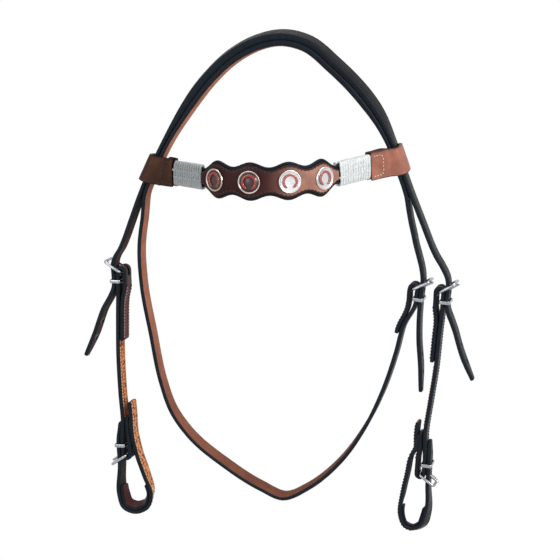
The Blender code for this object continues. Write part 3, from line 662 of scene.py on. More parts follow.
def mesh_piece(name, points, faces, finishes, values=None, which=None):
    """A smooth piece, with numbers for its finish at each point, or with a choice of finish for each face."""
    mesh = solid_mesh(name, points, faces)
    for key, numbers in (values or {}).items():
        mesh.attributes.new(key, "FLOAT", "POINT").data.foreach_set("value", numbers)
    for finish in finishes:
        mesh.materials.append(finish)
    if which:
        mesh.polygons.foreach_set("material_index", which)
    mesh.shade_smooth()
    return shown(name, mesh)


def wear(obj, slot, *nodes, body="headstall"):
    """Puts a piece on its body and hides the solids that it stands for; the slot is not used."""
    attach(obj, body)
    if nodes:
        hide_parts(*nodes)


class Lay:
    """A strap's route in the frame, to build its surface on and to set stitches on."""

    def __init__(self, line, across, out, thick, size, fuller=lambda point: (0, 0)):
        self.line, self.across, self.out = line, across, out
        self.thick, self.size, self.fuller = thick, size, fuller
        self.walked = walk_along(line)
        self.total = self.walked[-1]

    def grain_to(self, way):
        """Turns the grain side to look this way where the route starts."""
        if self.out[2].dot(way) < 0:
            self.out = [-out for out in self.out]
        return self

    def at(self, walked, across=0, side=1, lift=0):
        """A point on one face, with the directions along the strap, across it and out of that face."""
        spot, share = spot_at(self.walked, walked)
        ways = (self.line, self.across, self.out)
        middle, wide, out = (way[spot - 1].lerp(way[spot], share) for way in ways)
        wide, out = wide.normalized(), out.normalized() * side
        along = wide.cross(out).normalized()
        if along.dot(self.line[spot] - self.line[spot - 1]) < 0:
            along.negate()
        return middle + wide * across + out * (self.thick / 2 + lift), along, wide, out

    def stations(self):
        """Where the rings lie: (middle, spot, how much smaller), with softened ends."""
        soft = self.thick * END_SOFT
        ends = [(0, soft), (soft * END_SOFT, soft * END_SOFT), (soft, 0)]
        ways = tangents(self.line)
        line, last = self.line, len(self.line) - 1
        made = [(line[0] + ways[0] * reach, 0, shrink) for reach, shrink in ends]
        made += [(line[spot], spot, 0) for spot in range(1, last)]
        return made + [(line[last] - ways[last] * reach, last, shrink) for reach, shrink in reversed(ends)]

    def piece(self, name, finish, slot, stands_for, cuts=(), creased=True, dome=0):
        """The strap's surface, cut out and put on the headstall in place of its solid."""
        points, values = [], {"walk": [], "across": [], "inset": [], "side": []}
        stations = self.stations()
        for point, spot, shrink in stations:
            half = self.size(self.walked[spot]) / 2 - shrink
            above, below = self.fuller(self.line[spot])
            deep = self.thick / 2 + (above + below) / 2 - shrink
            middle = point + self.out[spot] * (above - below) / 2
            for across, out, side in ring_outline(half, deep, creased, dome):
                points.append(middle + self.across[spot] * across + self.out[spot] * out)
                for key, value in zip(values, (self.walked[spot], across, half - abs(across), side)):
                    values[key].append(value)
        faces = ring_faces(len(stations), len(points) // len(stations))
        obj = mesh_piece(name, points, faces, [finish], values)
        if cuts:
            carve(obj, cuts)
        wear(obj, slot, stands_for)


def strap_lay(line, widths, thick, size, grain=1, **more):
    """The lay of a strap that is given by its thinned line and its width directions."""
    line, widths = smooth_cloth(line, widths)
    line = [settle @ point for point in line]
    across, out = [], []
    for along, width in zip(tangents(line), widths):
        side = settle_turn @ width
        across.append((side - along * side.dot(along)).normalized())
        out.append(along.cross(across[-1]) * grain)
    return Lay(line, across, out, thick, size, **more)


def band_lay(line, thick, size):
    """The lay of a stretch of the browband, already dense, with its face outwards."""
    ways = [[(settle_turn @ way).normalized() for way in pair] for pair in band_normals(line)]
    faces, ups = zip(*ways)
    return Lay([settle @ point for point in line], ups, faces, thick, size)


def carve(obj, shapes):
    """Cuts the shapes out of a piece and keeps only the result."""
    for number_at, shape in enumerate(shapes):
        step = obj.modifiers.new(f"cut_{number_at}", "BOOLEAN")
        step.operation = "DIFFERENCE"
        step.solver = "MANIFOLD"
        step.object = shape
    graph = bpy.context.evaluated_depsgraph_get()
    made = bpy.data.meshes.new_from_object(obj.evaluated_get(graph))
    obj.modifiers.clear()
    obj.data = made
    for shape in shapes:
        bpy.data.objects.remove(shape)


def cutter_box(matrix, *size):
    bm = bmesh.new()
    bmesh.ops.create_cube(bm, size=1)
    bmesh.ops.scale(bm, vec=size, verts=bm.verts)
    bmesh.ops.transform(bm, matrix=settle @ matrix, verts=bm.verts)
    mesh = bpy.data.meshes.new("cutter")
    bm.to_mesh(mesh)
    bm.free()
    return shown("cutter", mesh)


def cutter_slot(matrix, wide, long):
    """A punched hole with round ends, through the matrix's middle along X."""
    points = []
    for out in (-STRAP_THICK, STRAP_THICK):
        for across, along in round_section(wide / 2, SLOT_SIDES):
            shift = (long - wide) / 2 * (1 if along >= 0 else -1)
            points.append(matrix @ Vector((out, across, along + shift)))
    return shown("cutter", solid_mesh("cutter", points, ring_faces(2, SLOT_SIDES)))


def round_section(radius, sides):
    turns = [2 * math.pi * step / sides for step in range(sides)]
    return [(radius * math.cos(turn), radius * math.sin(turn)) for turn in turns]


def flat_section(half, thick, power=4, sides=16):
    """A flat band's section with round edges."""
    turns = [squared(2 * math.pi * step / sides, 2 / power) for step in range(sides)]
    return [(half * wide, thick * tall) for wide, tall in turns]


def sweep(name, line, section, finish, ups, closed=False):
    """A section of (across, out) rows carried along a line. Out looks along ups: one for all or one each."""
    count = len(line)
    ways = tangents(line)
    if closed:
        ways = [(line[(at + 1) % count] - line[at - 1]).normalized() for at in range(count)]
    points = []
    for at, (point, way) in enumerate(zip(line, ways)):
        up = ups[at] if isinstance(ups, list) else ups
        up = (up - way * up.dot(way)).normalized()
        side = way.cross(up)
        rows = section(at) if callable(section) else section
        points += [point + side * across + up * out for across, out in rows]
    return mesh_piece(name, points, ring_faces(count, len(points) // count, closed), [finish])


# Thread: each stitch is a short round cord drawn down into the leather
STITCH_PITCH = 0.0034
STITCH_LENGTH = 0.0027
STITCH_RADIUS = 0.00042
STITCH_RINGS = ((-1, 0), (-0.86, 0.62), (-0.5, 0.95), (0, 1), (0.5, 0.95), (0.86, 0.62), (1, 0))
STITCH_SIDES = 6
STITCH_SINK = 0.5  # of the radius, at both ends
STITCH_FLAT = 0.85
STITCH_PROUD = 0.35
STITCH_SHARE = 0.86  # of the way between two holes, at most
STITCH_SWAY = 0.10
HOLE_SINK = 0.15
HOLE_FLAT = 0.35
HOLE_SIZES = (2.0, 0.95)  # length and radius, in thread radii


class Thread:
    """Stitches and the awl holes between them, gathered into one piece; each hole is a flat dark bead of
    painted shade.
    """

    def __init__(self, length=STITCH_LENGTH, radius=STITCH_RADIUS, bore=1.0):
        self.points, self.faces, self.which = [], [], []
        self.length, self.radius, self.bore = length, radius, bore

    def bead(self, middle, along, out, length, radius, flat, index=0):
        """A short round cord with pointed ends."""
        wide = along.cross(out).normalized()
        base = len(self.points)
        for reach, share in STITCH_RINGS:
            spot = middle + along * reach * length / 2 - out * radius * STITCH_SINK * abs(reach) ** 3
            for across, rise in round_section(radius * share, STITCH_SIDES) if share else [(0, 0)]:
                self.points.append(spot + wide * across + out * rise * flat)
        rings = len(STITCH_RINGS) - 2
        tip = base + 1 + rings * STITCH_SIDES
        for step in range(STITCH_SIDES):
            after = (step + 1) % STITCH_SIDES
            self.faces.append((base, base + 1 + after, base + 1 + step))
            for low in range(base + 1, tip - STITCH_SIDES, STITCH_SIDES):
                high = low + STITCH_SIDES
                self.faces.append((low + step, low + after, high + after, high + step))
            self.faces.append((tip - STITCH_SIDES + step, tip - STITCH_SIDES + after, tip))
        self.which += [index] * (len(self.faces) - len(self.which))

    def stitch(self, first, second, out):
        along = (second - first).normalized()
        length = min(self.length, (second - first).length * STITCH_SHARE)
        along = (along + along.cross(out) * random.uniform(-STITCH_SWAY, STITCH_SWAY)).normalized()
        middle = (first + second) / 2 + out * self.radius * STITCH_PROUD
        self.bead(middle, along, out, length, self.radius, STITCH_FLAT)

    # Painted shade: a flat dark bead sunk into the face where the awl hole is.
    def hole(self, spot, along, out):
        length, radius = (self.radius * size * self.bore for size in HOLE_SIZES)
        self.bead(spot - out * self.radius * HOLE_SINK, along, out, length, radius, HOLE_FLAT / self.bore, 1)

    def row(self, lay, start, stop, across, side=1, pitch=STITCH_PITCH):
        """A row along a strap; across is a length or a function of the distance walked."""
        count = max(1, round((stop - start) / pitch))
        ends = []
        for step in range(count + 1):
            walked = start + (stop - start) * step / count
            ends.append(lay.at(walked, across(walked) if callable(across) else across, side))
        for before, after in zip(ends, ends[1:]):
            self.stitch(before[0], after[0], (before[3] + after[3]).normalized())
        for spot, along, _, out in ends:
            self.hole(spot, along, out)

    def path(self, spots):
        """A row through given points, each with its outward direction."""
        for (first, out_first), (second, out_second) in zip(spots, spots[1:]):
            self.stitch(first, second, (out_first + out_second).normalized())
        for (spot, out), (other, _) in zip(spots, spots[1:] + spots[-2:-1]):
            self.hole(spot, (other - spot).normalized(), out)

    def piece(self, name, finish, slot):
        wear(mesh_piece(name, self.points, self.faces, [finish, awl_hole_shade], None, self.which), slot)


# Finishes, made of nodes
def tree_of(name):
    made = bpy.data.materials.new(name)
    made.use_nodes = True
    return made, made.node_tree, made.node_tree.nodes["Principled BSDF"]


def feed(made, inputs):
    """Sets a node's inputs, each to a value or to another node's output."""
    for key, value in inputs.items():
        if isinstance(value, bpy.types.NodeSocket):
            made.id_data.links.new(value, made.inputs[key])
        else:
            made.inputs[key].default_value = value


def node(tree, kind, inputs=None, **settings):
    made = tree.nodes.new(kind)
    for key, value in settings.items():
        setattr(made, key, value)
    feed(made, inputs or {})
    return made


def number(tree, operation, *values):
    return node(tree, "ShaderNodeMath", dict(enumerate(values)), operation=operation).outputs[0]


def blend(tree, share, first, second, way="MIX"):
    made = node(tree, "ShaderNodeMix", {0: share, 6: first, 7: second}, data_type="RGBA", blend_type=way)
    return made.outputs[2]


def ramped(tree, value, low, high, start=0.0, end=1.0):
    made = node(tree, "ShaderNodeMapRange", {0: value, 1: low, 2: high, 3: start, 4: end},
                interpolation_type="SMOOTHSTEP")
    return made.outputs[0]


def noise(tree, vector, scale, detail=3.0, rough=0.55):
    inputs = {"Vector": vector, "Scale": scale, "Detail": detail, "Roughness": rough}
    return node(tree, "ShaderNodeTexNoise", inputs).outputs[0]


def value_of(tree, name):
    return node(tree, "ShaderNodeAttribute", attribute_name=name, attribute_type="GEOMETRY").outputs["Fac"]


def place_of(tree):
    return node(tree, "ShaderNodeTexCoord").outputs["Object"]


def spread(tree, *parts):
    return node(tree, "ShaderNodeCombineXYZ", dict(enumerate(parts))).outputs[0]


def scaled(tree, values, scales):
    return spread(tree, *[number(tree, "MULTIPLY", value, scale) for value, scale in zip(values, scales)])


def times(tree, colour, value):
    """The colour made darker or lighter by a value."""
    return blend(tree, 1.0, colour, spread(tree, value, value, value), "MULTIPLY")


def lift(tree, height, distance, strength=1.0, **onto):
    inputs = {"Height": height, "Distance": distance, "Strength": strength, **onto}
    return node(tree, "ShaderNodeBump", inputs).outputs[0]


def shade(colour, by):
    return (*[min(1, part * by) for part in colour[:3]], 1)


# Leather: its patterns' scales per metre, and lengths in metres.
# A tone is (from, to, darkest, lightest), and a bump is (height, strength).
PATCH_SCALE = 38.0
MOTTLE_SCALE = 210.0
CREASE_SCALE = 820.0
PORE_SCALE = 1500.0
FIBRE_SCALES = (130.0, 1500.0, 2.0)  # along the strap, across it, and from face to face
CELL_SCALES = (190.0, 270.0)  # the pattern of painted shade specks and pale cells, along and across
CELL_END = (0.0066, 0.0078)  # where it fades out, from the strap's middle
STRAP_RIM = 0.0026
RIM_FADE = 0.0005
RIM_WANDER = 0.0008
RAGGED = (0.16, -0.08)  # how far the faces' edges wander
GRAIN_SIDE = (0.78, 0.96)
FLESH_SIDE = (-0.72, -0.90)
SHADE_SPECK_RANGE = (0.50, 0.58)
CELLS = (0.42, 0.32)
GRAIN_TONE = (0.30, 0.72, 0.72, 1.22)
PORE_TONE = (0.05, 0.45, 0.80, 1.05)
NAP_TONE = (0.28, 0.75, 0.70, 1.24)
FLESH_TONE = (0.30, 0.75, 0.82, 1.12)
BURNISH_TONE = (0.45, 0.75, 0.0, 0.45)
BURNISH = 1.9
POLISH = (0.07, 0.11)  # smoother and rougher than the given shine
FELT = 0.34
PORE_HEIGHT = 0.55
CREASE_HEIGHT = 0.8
LEATHER_BUMP = (0.00005, 0.30)
PATCH_BUMP = (0.0008, 0.30)
LEATHER_GLOSS = {"Specular IOR Level": 0.07, "Coat Weight": 0.02, "Coat Roughness": 0.28}
# Painted shade: dark specks for the shadows between thick stitches on tan faces, beside pale cells.
SHADE_SPECK = (0.16, 0.050, 0.020, 1)
PALE_CELL = (0.74, 0.33, 0.14, 1)
TAN = (0.58, 0.195, 0.075, 1)


class Hide:
    """What a leather is mixed from: its noises, and where and on which face of the strap a point lies."""

    def __init__(self, tree, rim):
        spot = place_of(tree)
        self.walk, self.across, side = (value_of(tree, key) for key in ("walk", "across", "side"))
        self.patches = noise(tree, spot, PATCH_SCALE, 4.0)
        self.mottle = noise(tree, spot, MOTTLE_SCALE, 4.0, 0.6)
        self.creases = noise(tree, spot, CREASE_SCALE, 5.0, 0.65)
        self.pores = node(tree, "ShaderNodeTexVoronoi", {"Vector": spot, "Scale": PORE_SCALE},
                          feature="SMOOTH_F1").outputs[0]
        self.fibres = noise(tree, scaled(tree, (self.walk, self.across, side), FIBRE_SCALES), 1.0, 4.0, 0.7)
        ragged = number(tree, "ADD", side, number(tree, "MULTIPLY_ADD", self.mottle, *RAGGED))
        wander = number(tree, "MULTIPLY_ADD", self.mottle, RIM_WANDER, value_of(tree, "inset"))
        inside = ramped(tree, wander, rim, rim + RIM_FADE)
        self.on_grain = number(tree, "MULTIPLY", ramped(tree, ragged, *GRAIN_SIDE), inside)
        self.on_flesh = number(tree, "MULTIPLY", ramped(tree, ragged, *FLESH_SIDE), inside)


def tan_with_shade_specks(tree, hide):
    """Tan with dark specks of painted shade, for the shadows between thick stitches, and pale cells along the
    strap's middle.
    """
    cells = noise(tree, scaled(tree, (hide.walk, hide.across), CELL_SCALES), 1.0, 1.5, 0.5)
    near_middle = ramped(tree, number(tree, "ABSOLUTE", hide.across), *CELL_END, 1.0, 0.0)
    shade_specks, pale_cells = (number(tree, "MULTIPLY", ramped(tree, cells, *limits), near_middle)
                       for limits in (SHADE_SPECK_RANGE, CELLS))
    return blend(tree, pale_cells, blend(tree, shade_specks, TAN, SHADE_SPECK), PALE_CELL)


def leather(name, grain, flesh, edge, shine=0.40, fades=(), rim=STRAP_RIM):
    """Grain on the outer face, suede on the inner one, and a burnished edge that runs onto both to the rim.
    A fade is (side, from, to, colour): that face takes the colour as the strap is walked; the throat's fades
    and the dark ply flesh paint shade, and the cover's fade paints light. Tan faces carry dark specks of
    painted shade and pale cells."""
    made, tree, shader = tree_of(name)
    hide = Hide(tree, rim)
    worked = tan_with_shade_specks(tree, hide)
    dyed = {side: worked if dye == TAN else dye for side, dye in ((1, grain), (-1, flesh))}
    for side, start, stop, dye in fades:
        share = ramped(tree, hide.walk, start, stop)
        dyed[side] = blend(tree, share, dyed[side], worked if dye == TAN else dye)
    grained = times(tree, dyed[1], ramped(tree, hide.patches, *GRAIN_TONE))
    grained = times(tree, grained, ramped(tree, hide.pores, *PORE_TONE))
    fleshed = times(tree, dyed[-1], ramped(tree, hide.fibres, *NAP_TONE))
    fleshed = times(tree, fleshed, ramped(tree, hide.patches, *FLESH_TONE))
    burnished = blend(tree, ramped(tree, hide.mottle, *BURNISH_TONE), edge, shade(edge, BURNISH))
    colour = blend(tree, hide.on_flesh, blend(tree, hide.on_grain, burnished, grained), fleshed)
    polish = ramped(tree, hide.mottle, 0.25, 0.75, shine - POLISH[0], shine + POLISH[1])
    creased = number(tree, "MULTIPLY", hide.creases, CREASE_HEIGHT)
    grain_height = number(tree, "MULTIPLY_ADD", hide.pores, PORE_HEIGHT, creased)
    height = node(tree, "ShaderNodeMix", {0: hide.on_flesh, 2: grain_height, 3: hide.fibres}).outputs[0]
    feed(shader, {
        "Base Color": colour, "Roughness": number(tree, "MULTIPLY_ADD", hide.on_flesh, FELT, polish),
        "Normal": lift(tree, height, *LEATHER_BUMP, Normal=lift(tree, hide.patches, *PATCH_BUMP)),
        **LEATHER_GLOSS,
    })
    return made


# Metal, thread, cord and enamel
BRUSHED = (0.16, 1.0, 1.0)
BRUSH_SCALE = 2600.0
CLOUD_SCALE = 260.0
TONE_SCALE = 300.0
TWIST_SCALE = 2600.0
PATINA_TONE = (0.42, 0.72, 0.0, 0.6)
BRUSH_BUMP = (0.00003, 0.35)
CLOUD_BUMP = (0.00005, 0.12)
TWIST_STRENGTH = 0.7


def metal(name, colour, roughness, patina):
    """Polished metal with fine scratches and clouds of patina."""
    made, tree, shader = tree_of(name)
    spot = place_of(tree)
    stretched = node(tree, "ShaderNodeMapping", {"Vector": spot, "Scale": BRUSHED}).outputs[0]
    fine = noise(tree, stretched, BRUSH_SCALE, 3.0, 0.6)
    cloud = noise(tree, spot, CLOUD_SCALE, 4.0, 0.6)
    feed(shader, {
        "Base Color": blend(tree, ramped(tree, cloud, *PATINA_TONE), colour, patina),
        "Roughness": ramped(tree, fine, 0.30, 0.75, roughness - 0.06, roughness + 0.10),
        "Normal": lift(tree, fine, *BRUSH_BUMP, Normal=lift(tree, cloud, *CLOUD_BUMP)), "Metallic": 1.0,
    })
    return made


def plain(name, colour, roughness, scale=1800.0, depth=0.00008, coat=0.0, contrast=0.25):
    """Thread, cord or enamel: a fine twist or grain, and a colour that wanders a little."""
    made, tree, shader = tree_of(name)
    spot = place_of(tree)
    fine, cloud = noise(tree, spot, scale, 4.0, 0.6), noise(tree, spot, TONE_SCALE)
    dyed = blend(tree, ramped(tree, cloud, 0.35, 0.70), colour, shade(colour, 0.80))
    feed(shader, {
        "Base Color": times(tree, dyed, ramped(tree, fine, 0.28, 0.75, 1 - contrast, 1 + contrast * 0.6)),
        "Roughness": ramped(tree, fine, 0.25, 0.75, roughness - 0.06, roughness + 0.08),
        "Normal": lift(tree, fine, depth, TWIST_STRENGTH), "Coat Weight": coat,
    })
    return made


# Black edge paint, tinted blue and lightened as a painted cool sheen.
EDGE_BLUE_SHEEN = (0.0085, 0.0120, 0.0172, 1)
MAHOGANY = (0.060, 0.020, 0.019, 1)
BLACK = (0.0070, 0.0065, 0.0080, 1)
# Painted shade: the throat strap's tan flesh darkened where it turns away from the key lamp round the throat.
SHADED_THROAT_FLESH = (0.17, 0.062, 0.038, 1)
# Painted shade: flesh darkened where it lies between plies and in folds.
SHADED_PLY_FLESH = (0.030, 0.013, 0.010, 1)
# The throat's flesh fades into painted shade round the throat, and into the darker painted shade of its fold.
THROAT_PAINTED_SHADE = ((-1, 0.640, 1.040, SHADED_THROAT_FLESH), (-1, 1.220, 1.260, SHADED_PLY_FLESH))
CHEEK_FADES = ((1, 0.078, 0.092, BLACK), (-1, 0.148, 0.156, TAN), (-1, 0.250, 0.262, SHADED_PLY_FLESH))
BIT_FADES = ((1, 0.118, 0.142, BLACK),)
# Painted light: the cover's grain grows paler towards its right end, where the key lamp falls.
COVER_PAINTED_LIGHT = ((1, 0.070, 0.135, (0.42, 0.205, 0.150, 1)),)

LEATHERS = {
    "crown": ((0.0120, 0.0105, 0.0115, 1), (0.060, 0.024, 0.020, 1), EDGE_BLUE_SHEEN),
    "throat": ((0.0065, 0.0065, 0.0090, 1), (0.40, 0.155, 0.095, 1), EDGE_BLUE_SHEEN, 0.38, THROAT_PAINTED_SHADE, 0.0014),
    "cheek": (MAHOGANY, SHADED_PLY_FLESH, EDGE_BLUE_SHEEN, 0.36, CHEEK_FADES),
    "bit": (TAN, (0.030, 0.021, 0.018, 1), EDGE_BLUE_SHEEN, 0.38, BIT_FADES),
    "liner": (MAHOGANY, MAHOGANY, EDGE_BLUE_SHEEN),
    "base": (BLACK, (0.10, 0.04, 0.025, 1), EDGE_BLUE_SHEEN, 0.38, (), 0.0016),
    "cover": ((0.040, 0.012, 0.012, 1), MAHOGANY, (0.030, 0.014, 0.014, 1), 0.36, COVER_PAINTED_LIGHT, 0.0019),
    # The two loops are one leather: the left is a shaded copy, with dark grain and edge as painted shade, and
    # the right a lit copy, with pale grain and edge as painted light.
    "left_loop": ((0.062, 0.027, 0.017, 1), MAHOGANY, (0.016, 0.008, 0.007, 1), 0.40, (), 0.0012),
    "right_loop": ((0.33, 0.130, 0.090, 1), MAHOGANY, (0.085, 0.035, 0.030, 1), 0.34, (), 0.0012),
}
THREADS = {
    "pale": ((0.74, 0.68, 0.58, 1), 0.62),
    "gold": ((0.80, 0.44, 0.20, 1), 0.58),
    "russet": ((0.060, 0.030, 0.027, 1), 0.62),
    "mauve": ((0.36, 0.175, 0.150, 1), 0.58),
    "dark": ((0.035, 0.030, 0.030, 1), 0.60),
}
PLAINS = {
    "awl_hole_shade": ((0.012, 0.008, 0.007, 1), 0.85),
    # One rawhide in two copies: grey for the left lacing as painted shade, near white for the right as
    # painted light.
    "shaded_rawhide": ((0.37, 0.39, 0.39, 1), 0.50, 1500.0, 0.00004, 0.05, 0.14),
    "lit_rawhide": ((0.70, 0.73, 0.73, 1), 0.50, 1500.0, 0.00004, 0.05, 0.12),
    "painted_shade_field": ((0.060, 0.016, 0.014, 1), 0.34, 900.0, 0.00005, 0.08),
    "glared_enamel": ((0.42, 0.075, 0.085, 1), 0.30, 1200.0, 0.00003, 0.15, 0.12),
    "red_enamel": ((0.33, 0.008, 0.014, 1), 0.30, 1200.0, 0.00003, 0.15, 0.12),
}
METALS = {
    "bright_steel": ((0.38, 0.39, 0.41, 1), 0.18, (0.18, 0.19, 0.21, 1)),
    "lit_nickel": ((0.74, 0.73, 0.74, 1), 0.30, (0.52, 0.50, 0.50, 1)),
    "nickel_silver": ((0.47, 0.42, 0.36, 1), 0.28, (0.29, 0.24, 0.19, 1)),
}
leathers = {name: leather(f"{name}_leather", *looks) for name, looks in LEATHERS.items()}
threads = {name: plain(f"{name}_thread", *looks, TWIST_SCALE) for name, looks in THREADS.items()}
plains = {name: plain(name, *looks) for name, looks in PLAINS.items()}
metals = {name: metal(name, *looks) for name, looks in METALS.items()}
awl_hole_shade = plains["awl_hole_shade"]
bright_steel = metals["bright_steel"]

# Holes and stitches of the straps
SPARE_HOLE = (0.0038, 0.003876)  # width and length
SPARE_AT = (0.022, 0.041)  # from a long billet's tip
BIT_SPARE_AT = 0.014
BOLD = (0.0030, 0.00064)  # length and radius of the thick thread's stitches
# The thick thread's dark holes are wider, for more painted shade round its stitches.
GOLD_BORE = 1.7
BIT_BORE = 1.5
MAUVE_RADIUS = BOLD[1] * 1.25
TAIL_BARE = 0.0030
EDGE_ROW = STRAP_WIDTH / 2 - 0.0026
EDGE_ROWS = (-EDGE_ROW, EDGE_ROW)
ZIGZAG_STEP = 0.0042
ZIGZAG_HALF = 0.0030
FOLD_WALK = math.pi * HEEL_RADIUS

# The long straps are fuller than the solids over the poll
FULL_FROM = 0.105
FULL_OVER = 0.060
CROWN_FULLER = (0.0028, 0.0012)  # above and below
THROAT_FULLER = (0.0014, 0.0014)


def over_poll_only(above, below):
    """How much fuller each face is than the solid: most over the poll, nothing from the browband down."""

    def fuller(point):
        share = eased((point.z + FULL_FROM) / FULL_OVER)
        return above * share, below * share

    return fuller


def punched(buckle):
    """The cutter for the hole that this buckle's tongue goes through."""
    run = (crossing(FRAME_TILT) + crossing(FRAME_TILT + TONGUE_SWING)) / 2
    return cutter_slot(settle @ buckle.matrix(buckle.at(run, BILLET_OUT)), HOLE_WIDTH, HOLE_LENGTH)


def spare_holes(lay, spots):
    """Round holes further along a billet, for a longer or shorter fit."""
    made = []
    for walked in spots:
        middle, along, wide, out = lay.at(walked, 0, 1, -lay.thick / 2)
        matrix = Matrix.Translation(middle) @ Matrix((out, wide, along)).transposed().to_4x4()
        made.append(cutter_slot(matrix, *SPARE_HOLE))
    return made


def fold_slot(buckle):
    """The cutter for the slot in a fold that lets the tongue round the heel bar."""
    reach = HEEL_RADIUS + STRAP_THICK
    below = WIRE + PIN_GAP + TONGUE_WIRE * 2 + FIT * 2
    return cutter_box(buckle.matrix(buckle.at((below - reach) / 2, 0)), reach * 2, HOLE_WIDTH, reach + below)


def zigzag_row(thread, lay, start, stop, side):
    """Stitches that cross the strap's middle from side to side."""
    spots = []
    for step in range(round((stop - start) / ZIGZAG_STEP) + 1):
        spot = lay.at(start + step * ZIGZAG_STEP, ZIGZAG_HALF * (1 if step % 2 else -1), side)
        spots.append((spot[0], spot[3]))
    thread.path(spots)


def make_crown():
    route = thinned(crown_line())
    widths = depth_widths(route, [CROWN_SPLAY * over_poll(point) for point in route])
    lay = strap_lay(route, widths, STRAP_THICK, tapered(length_of(route), True, True),
                    fuller=over_poll_only(*CROWN_FULLER))
    cuts = [punched(buckles["left_cheek"]), punched(buckles["right_cheek"])]
    cuts += spare_holes(lay, SPARE_AT + tuple(lay.total - spot for spot in SPARE_AT))
    lay.piece("crown_strap_leather", leathers["crown"], "black_leather", "crown_strap", cuts)


def make_throat():
    """One strap from its billet round the throat to the fold in its own buckle. Its seam is sewn later."""
    buckle = buckles["throat"]
    route = throat_line()
    fold = ply(list(reversed(route)), buckle, 1, THROAT_PLY)
    route = thinned(route + list(reversed(buckle.arc()))[1:] + fold[1:])
    turns = [
        THROAT_TWIST * eased((THROAT_TWIST_FROM_SHARE - point.z / DROP) / THROAT_TWIST_OVER_SHARE)
        for point in route
    ]
    size = tapered(length_of(route), True, False)
    lay = strap_lay(route, depth_widths(route, turns), STRAP_THICK, size, -1,
                    fuller=over_poll_only(*THROAT_FULLER))
    cuts = [punched(buckle), fold_slot(buckle)] + spare_holes(lay, SPARE_AT)
    lay.piece("throat_strap_leather", leathers["throat"], "black_leather", "throat_strap", cuts)
    return lay, lay.total - length_of(fold) + STRAIGHT_RUN


def sew_throat(lay, seam_from):
    thread = Thread()
    for across in EDGE_ROWS:
        thread.row(lay, seam_from, lay.total - TAIL_BARE, across)
    thread.piece("throat_fold_stitches", threads["dark"], "black_leather")


def make_cheek(side):
    """The strap folded round both its buckles, with a sewn ply at each end."""
    upper, lower = buckles[f"{side}_cheek"], buckles[f"{side}_bit"]
    main = cheek_line(side)
    top = ply(main, upper, 1, UPPER_PLY)
    bottom = ply(list(reversed(main)), lower, 1, LOWER_PLY)
    route = list(reversed(top)) + upper.arc()[1:] + main[1:-1] + list(reversed(lower.arc())) + bottom[1:]
    widths = depth_widths(route)
    near = len(top) + FOLD_STEPS + 3
    grain = math.copysign(1, tangents(route)[near].cross(widths[near]).dot(upper.out))
    lay = strap_lay(route, widths, STRAP_THICK, lambda walked: STRAP_WIDTH, grain)
    lay.piece(f"{side}_cheek_leather", leathers["cheek"], "russet_leather", f"{side}_cheek_strap",
              [fold_slot(upper), fold_slot(lower)])

    top_fold, bottom_fold = length_of(top), lay.total - length_of(bottom)
    start, stop = top_fold + FOLD_WALK, bottom_fold - FOLD_WALK
    open_part = (start + UPPER_PLY + TAIL_BARE, stop - LOWER_PLY - TAIL_BARE)
    gold, dark, mauve = Thread(*BOLD, GOLD_BORE), Thread(), Thread(BOLD[0], MAUVE_RADIUS)
    for across in EDGE_ROWS:
        mauve.row(lay, TAIL_BARE, top_fold - STRAIGHT_RUN, across)
        mauve.row(lay, bottom_fold + STRAIGHT_RUN, lay.total - TAIL_BARE, across)
        gold.row(lay, *open_part, across, -1)
        dark.row(lay, start + STRAIGHT_RUN, stop - STRAIGHT_RUN, across)
    zigzag_row(gold, lay, *open_part, -1)
    gold.piece(f"{side}_cheek_gold_stitches", threads["gold"], "tan_leather")
    mauve.piece(f"{side}_cheek_ply_stitches", threads["mauve"], "russet_leather")
    dark.piece(f"{side}_cheek_dark_stitches", threads["dark"], "black_leather")


def make_bit(side):
    """The loop that holds the bit: a sewn strand, the loop itself and a billet through the bit buckle."""
    buckle = buckles[f"{side}_bit"]
    main = list(reversed(cheek_line(side)))
    sewn = list(reversed(ply(main, buckle, 2, BIT_SEWN)))[:-sewn_tail(main)]
    tail = offset(main, buckle.out, lambda walked: STRAP_THICK + PLY_GAP, BIT_TAIL)
    ahead = smooth(sewn[-2:] + places(BIT_LOOP_SHARES[side]) + buckle.billet()[:2])
    route = sewn[:-2] + thinned(ahead, BIT_LOOP_STEP) + tail[1:]
    lowest = min(point.z for point in route)
    turns = [-BIT_LOOP_TWIST * (1 - eased((point.z - lowest) / BIT_LOOP_HEIGHT)) for point in route]
    widths = depth_widths(route, turns)
    grain = -math.copysign(1, tangents(route)[2].cross(widths[2]).dot(buckle.out))
    lay = strap_lay(route, widths, STRAP_THICK, tapered(length_of(route), False, True), grain)
    cuts = [punched(buckle)] + spare_holes(lay, [lay.total - BIT_SPARE_AT])
    lay.piece(f"{side}_bit_leather", leathers["bit"], "tan_leather", f"{side}_bit_strap", cuts)

    bottom = lay.walked[min(range(len(lay.line)), key=lambda at: lay.line[at].z)]
    thread = Thread(*BOLD, BIT_BORE)
    for across in EDGE_ROWS:
        thread.row(lay, TAIL_BARE, bottom - TAIL_BARE, across)
    zigzag_row(thread, lay, TAIL_BARE * 1.5, bottom - TAIL_BARE * 1.5, 1)
    # The right bit's dark thread is a shaded copy of the left one's gold: painted shade.
    thread.piece(f"{side}_bit_stitches", threads["gold" if side == "left" else "dark"], "tan_leather")
    make_liner(side, route, widths, lowest + LINER_HEIGHT)


